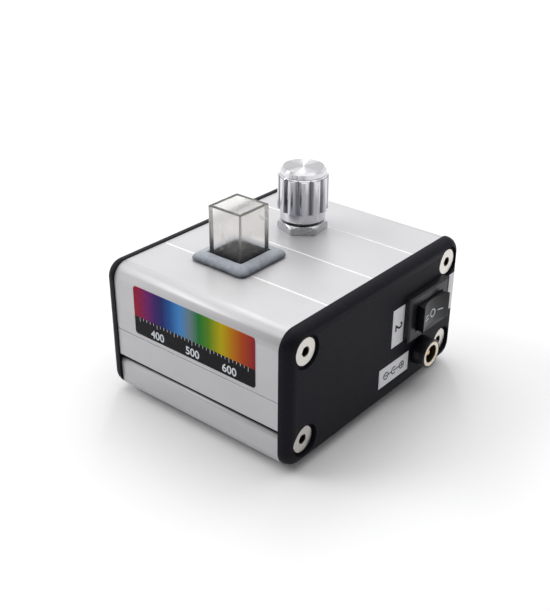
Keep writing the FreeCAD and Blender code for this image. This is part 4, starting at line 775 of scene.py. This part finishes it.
def make_knob():
    """Turned knob: faced top, chamfers that scallop over the lobes, plain rings above and below."""
    columns = LOBES * LOBE_STEPS
    profiles = [knob_profile(lobe_radius(j)) for j in range(columns)]
    vertices = []
    for row in zip(*profiles):
        for j, (radius, z) in enumerate(row):
            angle = math.radians(LOBE_TURN) + ((j / LOBE_STEPS) - 0.5) * 2 * math.pi / LOBES
            x = KNOB_X + radius * MM * math.cos(angle)
            y = KNOB_Y + radius * MM * math.sin(angle)
            vertices.append((x, y, z * MM))
    rows = len(profiles[0])
    faces = ring_faces(rows, columns)
    faces.append(tuple(range(columns)))
    faces.append(tuple(range((rows - 1) * columns, rows * columns)))
    knob = mesh_object("fluted_knob", vertices, faces, MATERIALS["knob_aluminium"])
    knob.data.materials.append(KNOB_FACE)
    for polygon in knob.data.polygons:
        if polygon.center.z > KNOB_HIGH.z - KNOB_FACE_DEPTH:
            polygon.material_index = 1
    knob.data.set_sharp_from_angle(angle=KNOB_SHARP_ANGLE)
    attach(knob, "knob")
    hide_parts("level_knob")


# Thread of the fibre port: quarter inch outside, 36 threads to the inch
PORT_RADIUS = 3.17
PORT_BORE = 1.6
THREAD_PITCH = 25.4 / 36
THREAD_DEPTH = 0.36
THREAD_COLUMNS = 40
THREAD_ROWS_PER_PITCH = 8
PORT_MOUTH = 0.35
PORT_SHARP_ANGLE = math.radians(35)
THREAD_START = 0.1
THREAD_END = 0.1
THREAD_RUN_IN = 0.5
THREAD_STEEPNESS = 1.25
THREAD_CREST = 0.12


def make_port():
    """Fibre port barrel with its real thread, chamfered mouth, bore and inner flange."""
    start = PORT_LOW.x / MM
    end = PORT_HIGH.x / MM
    flange = (PORT_HIGH.y - PORT_LOW.y) / 2 / MM
    flange_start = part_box("top_shell")[0].x / MM
    length = flange_start - start - THREAD_START - THREAD_END
    count = int(length / THREAD_PITCH * THREAD_ROWS_PER_PITCH)
    rows = [(end, PORT_BORE, False), (start + PORT_MOUTH, PORT_BORE, False),
            (start, PORT_BORE + PORT_MOUTH, False), (start, PORT_RADIUS - THREAD_DEPTH, False)]
    for i in range(count + 1):
        rows.append((start + THREAD_START + length * i / count, PORT_RADIUS, True))
    rows += [(flange_start, PORT_RADIUS, False), (flange_start, flange, False), (end, flange, False)]
    vertices = []
    for x, radius, threaded in rows:
        for j in range(THREAD_COLUMNS):
            angle = 2 * math.pi * j / THREAD_COLUMNS
            r = radius
            if threaded:
                phase = (x / THREAD_PITCH - j / THREAD_COLUMNS) % 1.0
                groove = abs(phase * 2 - 1)
                run_in = min(1.0, max(0.0, (x - start - THREAD_START) / THREAD_RUN_IN))
                lead_in = PORT_RADIUS - THREAD_DEPTH * (1 - run_in)
                cut = max(0.0, min(1.0, groove * THREAD_STEEPNESS - THREAD_CREST))
                r = min(lead_in, radius - THREAD_DEPTH * cut)
            y = PORT_Y + r * MM * math.cos(angle)
            z = PORT_Z + r * MM * math.sin(angle)
            vertices.append((x * MM, y, z))
    faces = ring_faces(len(rows), THREAD_COLUMNS, close_rows=True)
    port = mesh_object("threaded_port", vertices, faces, MATERIALS["port_metal"])
    port.data.set_sharp_from_angle(angle=PORT_SHARP_ANGLE)
    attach(port, "housing")
    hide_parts("fibre_port")


# Marks on the rocker, in mm from its middle
MARK_RAISE = 0.03
MARK_SINK = -0.05
MARK_BAR_STEPS = 6
MARK_THICKNESS = 0.36
ROCKER_ARC_HALF = 7.05
ROCKER_ARC_DEPTH = 1.9
MARK_BARS = ((4.2, -0.75, 2.1), (-2.6, -0.75, 2.4), (-2.6, -1.9, 2.4))
MARK_RING_PLACE = (0.9, -1.0)
MARK_RING = (1.1, 1.28)
MARK_RING_STEPS = 28


def rocker_surface(y, z, raise_by):
    """Point on the hollow face of the rocker, y and z in mm from its middle."""
    radius = (ROCKER_ARC_HALF ** 2 + ROCKER_ARC_DEPTH ** 2) / (2 * ROCKER_ARC_DEPTH)
    middle = ROCKER_HIGH.x / MM - ROCKER_ARC_DEPTH
    x = middle + radius - math.sqrt(radius ** 2 - y ** 2) + raise_by
    return Vector((x * MM, ROCKER_Y + y * MM, ROCKER_Z + z * MM))


def add_bar(vertices, faces, middle, z, length):
    """One bar of the marks, bent along the hollow face."""
    first = len(vertices)
    steps = MARK_BAR_STEPS
    half = MARK_THICKNESS / 2
    for level in (MARK_SINK, MARK_RAISE):
        for i in range(steps + 1):
            y = middle + length * (i / steps - 0.5)
            vertices.append(rocker_surface(y, z - half, level))
            vertices.append(rocker_surface(y, z + half, level))
    count = (steps + 1) * 2
    for level in (0, count):
        for i in range(steps):
            a = first + level + 2 * i
            faces.append((a, a + 1, a + 3, a + 2))
    for i in range(steps):
        for side in (0, 1):
            a = first + 2 * i + side
            faces.append((a, a + 2, a + 2 + count, a + count))
    for i in (0, steps):
        a = first + 2 * i
        faces.append((a, a + 1, a + 1 + count, a + count))


def add_ring(vertices, faces):
    """The O of the marks."""
    first = len(vertices)
    half = MARK_THICKNESS / 2
    for side, level in ((-half, MARK_SINK), (half, MARK_SINK), (half, MARK_RAISE), (-half, MARK_RAISE)):
        for j in range(MARK_RING_STEPS):
            angle = 2 * math.pi * j / MARK_RING_STEPS
            y = MARK_RING_PLACE[0] + (MARK_RING[0] + side) * math.cos(angle)
            z = MARK_RING_PLACE[1] + (MARK_RING[1] + side) * math.sin(angle)
            vertices.append(rocker_surface(y, z, level))
    for face in ring_faces(4, MARK_RING_STEPS, close_rows=True):
        faces.append(tuple(first + corner for corner in face))


def make_marks():
    """White I, O and II of a three-position switch, laid on the hollow face."""
    vertices = []
    faces = []
    for y, z, length in MARK_BARS:
        add_bar(vertices, faces, y, z, length)
    add_ring(vertices, faces)
    marks = mesh_object("rocker_marks", vertices, faces, MARK_WHITE, smooth=False)
    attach(marks, "rocker")


# Plain marks on the label and the stickers: a scale of wavelengths, a number and a plug's polarity sign
SCALE_NUMBERS = (("400", 0.2), ("500", 0.5), ("600", 0.8))
SCALE_FIRST = 0.05
SCALE_LAST = 0.95
SCALE_STEP = 0.03
SCALE_LONG_EVERY = 5
SCALE_SHORT = 0.8
SCALE_LONG = 1.4
SCALE_LINE = 0.2
NUMBER_SIZE = 3.6
NUMBER_DROP = 3.9
INK_RAISE = 0.03
INK_SPREAD = 0.02
STICKER_GAP = 0.1
STICKER_WIDTH = 6.1
STICKER_HEIGHT = 12.7
JACK_STICKER_WIDTH = 15.7
JACK_STICKER_HEIGHT = 6.5
SIGN_LINE = 0.32
SIGN_RADIUS = 1.15
SIGN_PITCH = 4.2
SIGN_STEPS = 24
SIGN_OPENING = 50
SIGN_STROKE = SIGN_RADIUS / 2
SIGN_DOT = 0.2
STICKER_NUMBER_SIZE = 5.0


def label_place(across, up):
    """Point on the label's front, across and up in mm from its lower left corner."""
    return Vector((LABEL_LOW.x + across * MM, LABEL_LOW.y, LABEL_LOW.z + up * MM))


def sticker_place(across, up):
    """Point on the lower sticker, across and up in mm from its lower left corner."""
    return Vector((STICKERS_HIGH.x, STICKERS_LOW.y + across * MM, STICKERS_LOW.z + up * MM))


def drawn_lines(name, lines, width, material):
    """Printed lines: each is a list of points and whether it closes on itself."""
    data = bpy.data.curves.new(name, "CURVE")
    data.dimensions = "3D"
    data.bevel_depth = width / 2 * MM
    data.bevel_resolution = 1
    data.use_fill_caps = True
    for points, closed in lines:
        spline = data.splines.new("POLY")
        spline.points.add(len(points) - 1)
        for point, place in zip(spline.points, points):
            point.co = (*place, 1)
        spline.use_cyclic_u = closed
    data.materials.append(material)
    drawn = bpy.data.objects.new(name, data)
    bpy.context.collection.objects.link(drawn)
    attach(drawn, "housing")


def plain_number(name, body, size, place, rows, material):
    """A printed number, standing just proud of its film."""
    data = bpy.data.curves.new(name, "FONT")
    data.body = body
    data.size = size * MM
    data.align_x = "CENTER"
    data.align_y = "CENTER"
    data.extrude = INK_RAISE * MM
    data.offset = size * INK_SPREAD * MM
    data.materials.append(material)
    number = bpy.data.objects.new(name, data)
    bpy.context.collection.objects.link(number)
    number.matrix_world = Matrix.Translation(place) @ Matrix(rows).transposed().to_4x4()
    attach(number, "housing")


def make_label_scale():
    """Scale of wavelengths on the label's dark band, with three numbers."""
    width = (LABEL_HIGH.x - LABEL_LOW.x) / MM
    top = (LABEL_BAND_TOP - LABEL_LOW.z) / MM
    ticks = []
    for i in range(int(round((SCALE_LAST - SCALE_FIRST) / SCALE_STEP)) + 1):
        across = (SCALE_FIRST + i * SCALE_STEP) * width
        length = SCALE_LONG if i % SCALE_LONG_EVERY == 0 else SCALE_SHORT
        ticks.append(([label_place(across, top), label_place(across, top - length)], False))
    drawn_lines("label_scale", ticks, SCALE_LINE, MARK_WHITE)
    upright = ((1, 0, 0), (0, 0, 1), (0, -1, 0))
    for body, share in SCALE_NUMBERS:
        place = label_place(share * width, top - NUMBER_DROP)
        plain_number("label_number_" + body, body, NUMBER_SIZE, place, upright, MARK_WHITE)


def make_sticker_number():
    """Plain number on the sticker beside the switch, turned a quarter."""
    y = SWITCH_SIDE - (STICKER_GAP + STICKER_WIDTH / 2) * MM
    z = STICKERS_HIGH.z - STICKER_HEIGHT / 2 * MM
    turned_down = ((0, 0, -1), (0, 1, 0), (1, 0, 0))
    plain_number("sticker_number", "2", STICKER_NUMBER_SIZE, Vector((STICKERS_HIGH.x, y, z)), turned_down,
                 PRINT_BLACK)


def sign_arc(place, opening):
    """Ring of the polarity sign, or an arc where it has an opening, in degrees each way."""
    points = []
    for j in range(SIGN_STEPS + (1 if opening else 0)):
        angle = math.radians(opening + (360 - 2 * opening) * j / SIGN_STEPS)
        across = JACK_STICKER_WIDTH / 2 + place + SIGN_RADIUS * math.cos(angle)
        points.append(sticker_place(across, JACK_STICKER_HEIGHT / 2 + SIGN_RADIUS * math.sin(angle)))
    return points


def make_polarity_sign():
    """A plug's polarity: minus, the socket with its pin, and plus, joined by lines."""
    middle = JACK_STICKER_WIDTH / 2
    level = JACK_STICKER_HEIGHT / 2
    signs = [
        (sign_arc(-SIGN_PITCH, 0), True),
        (sign_arc(0, SIGN_OPENING), False),
        (sign_arc(SIGN_PITCH, 0), True),
    ]
    spans = (
        (-SIGN_PITCH - SIGN_STROKE, -SIGN_PITCH + SIGN_STROKE),
        (SIGN_PITCH - SIGN_STROKE, SIGN_PITCH + SIGN_STROKE),
        (-SIGN_PITCH + SIGN_RADIUS, -SIGN_RADIUS), (0, SIGN_PITCH - SIGN_RADIUS), (-SIGN_DOT, SIGN_DOT),
    )
    for start, end in spans:
        signs.append(([sticker_place(middle + start, level), sticker_place(middle + end, level)], False))
    plus = middle + SIGN_PITCH
    upright = [sticker_place(plus, level - SIGN_STROKE), sticker_place(plus, level + SIGN_STROKE)]
    signs.append((upright, False))
    drawn_lines("polarity_sign", signs, SIGN_LINE, PRINT_BLACK)


# Floor: its size in metres, and the distances over which it pales and then fades into the white background
FLOOR_RADIUS = 4.0
FLOOR_STEPS = 96
FLOOR_PALE_START = 0.12
FLOOR_PALE_END = 0.8
FLOOR_FADE_START = 0.3
FLOOR_FADE_END = 0.8
FLOOR_MOTTLE = 0.1
FLOOR_MIRRORED = 0.5


def floor_material():
    """White to the camera with the object's shadow, greyer to the light that bounces off it."""
    shader = Shader("floor_white", roughness=0.9, specular_ior_level=0.1)
    away = shader.distance(shader.axis("X"), shader.axis("Y"))
    mottle = shader.spread(shader.noise(3, 2.0), 0, FLOOR_MOTTLE)
    far = shader.math("ADD", shader.range(away, FLOOR_PALE_START, FLOOR_PALE_END, 0, 1), mottle)
    seen = shader.blend(far, srgb(252, 252, 253), srgb(255, 255, 255))
    path = shader.node("ShaderNodeLightPath")
    shader.colour(shader.blend(path.outputs["Is Diffuse Ray"], seen, srgb(214, 214, 215)))
    looked_at = shader.math("MAXIMUM", path.outputs["Is Camera Ray"], path.outputs["Is Transmission Ray"])
    mirrored = shader.math("MULTIPLY", path.outputs["Is Glossy Ray"], FLOOR_MIRRORED)
    looked_at = shader.math("MAXIMUM", looked_at, mirrored)
    horizon = shader.range(away, FLOOR_FADE_START, FLOOR_FADE_END, 0, 1)
    shader.surface.inputs["Emission Color"].default_value = (1, 1, 1, 1)
    shader.link(shader.math("MULTIPLY", horizon, looked_at), shader.surface.inputs["Emission Strength"])
    return shader.material


def make_floor():
    """Pale floor that keeps the object's shadow and turns white towards the horizon."""
    mesh = bpy.data.meshes.new("floor")
    build = bmesh.new()
    bmesh.ops.create_circle(build, cap_ends=True, segments=FLOOR_STEPS, radius=FLOOR_RADIUS)
    build.to_mesh(mesh)
    build.free()
    floor = bpy.data.objects.new("floor", mesh)
    bpy.context.collection.objects.link(floor)
    mesh.materials.append(floor_material())


# Light: the side that is a darker room, how far its edge reaches, and the lamps as name, place, width,
# height and power, all aimed at the middle of the object
ROOM_DIRECTION = (0.637, -0.766, -0.087)
ROOM_EDGE_LOW = -0.55
ROOM_EDGE_HIGH = 0.65
ROOM_SHADE = 0.08
LAMP_AIM = (0, 0, 0.03)
LAMPS = (
    ("overhead", (-0.10, 0.22, 1.60), 2.4, 2.4, 13.5),
    ("side", (-1.05, -0.80, 1.05), 0.95, 0.24, 6.6),
    ("back", (-0.55, 0.66, 1.15), 0.08, 0.7, 1.4),
)


def make_world():
    """White surroundings that fall off into a darker room on one side, plain white to the camera."""
    world = bpy.data.worlds.new("surroundings")
    bpy.context.scene.world = world
    world.use_nodes = True
    tree = world.node_tree
    link = tree.links.new
    background = tree.nodes["Background"]
    background.inputs["Color"].default_value = (1, 1, 1, 1)
    path = tree.nodes.new("ShaderNodeLightPath")
    direction = tree.nodes.new("ShaderNodeTexCoord")
    facing = tree.nodes.new("ShaderNodeVectorMath")
    facing.operation = "DOT_PRODUCT"
    link(direction.outputs["Generated"], facing.inputs[0])
    facing.inputs[1].default_value = ROOM_DIRECTION
    room = tree.nodes.new("ShaderNodeMapRange")
    link(facing.outputs["Value"], room.inputs["Value"])
    room.inputs["From Min"].default_value = ROOM_EDGE_LOW
    room.inputs["From Max"].default_value = ROOM_EDGE_HIGH
    room.inputs["To Min"].default_value = 1.0
    room.inputs["To Max"].default_value = ROOM_SHADE
    seen = tree.nodes.new("ShaderNodeMath")
    seen.operation = "MAXIMUM"
    link(path.outputs["Is Camera Ray"], seen.inputs[0])
    link(path.outputs["Is Transmission Ray"], seen.inputs[1])
    strength = tree.nodes.new("ShaderNodeMath")
    strength.operation = "MAXIMUM"
    link(room.outputs["Result"], strength.inputs[0])
    link(seen.outputs[0], strength.inputs[1])
    link(strength.outputs[0], background.inputs["Strength"])


def make_lamps():
    """Soft elliptical lamps, all aimed at the object."""
    for name, place, width, height, power in LAMPS:
        data = bpy.data.lights.new(name, "AREA")
        data.shape = "ELLIPSE"
        data.size = width
        data.size_y = height
        data.energy = power
        lamp = bpy.data.objects.new(name, data)
        bpy.context.collection.objects.link(lamp)
        lamp.location = place
        aim = Vector(LAMP_AIM) - Vector(place)
        lamp.rotation_euler = aim.to_track_quat("-Z", "Y").to_euler()


bpy.context.scene.view_settings.view_transform = "Standard"
make_camera()
make_world()
make_lamps()
make_floor()
dress_nodes()
make_collar()
make_knob()
make_port()
make_marks()
make_label_scale()
make_sticker_number()
make_polarity_sign()
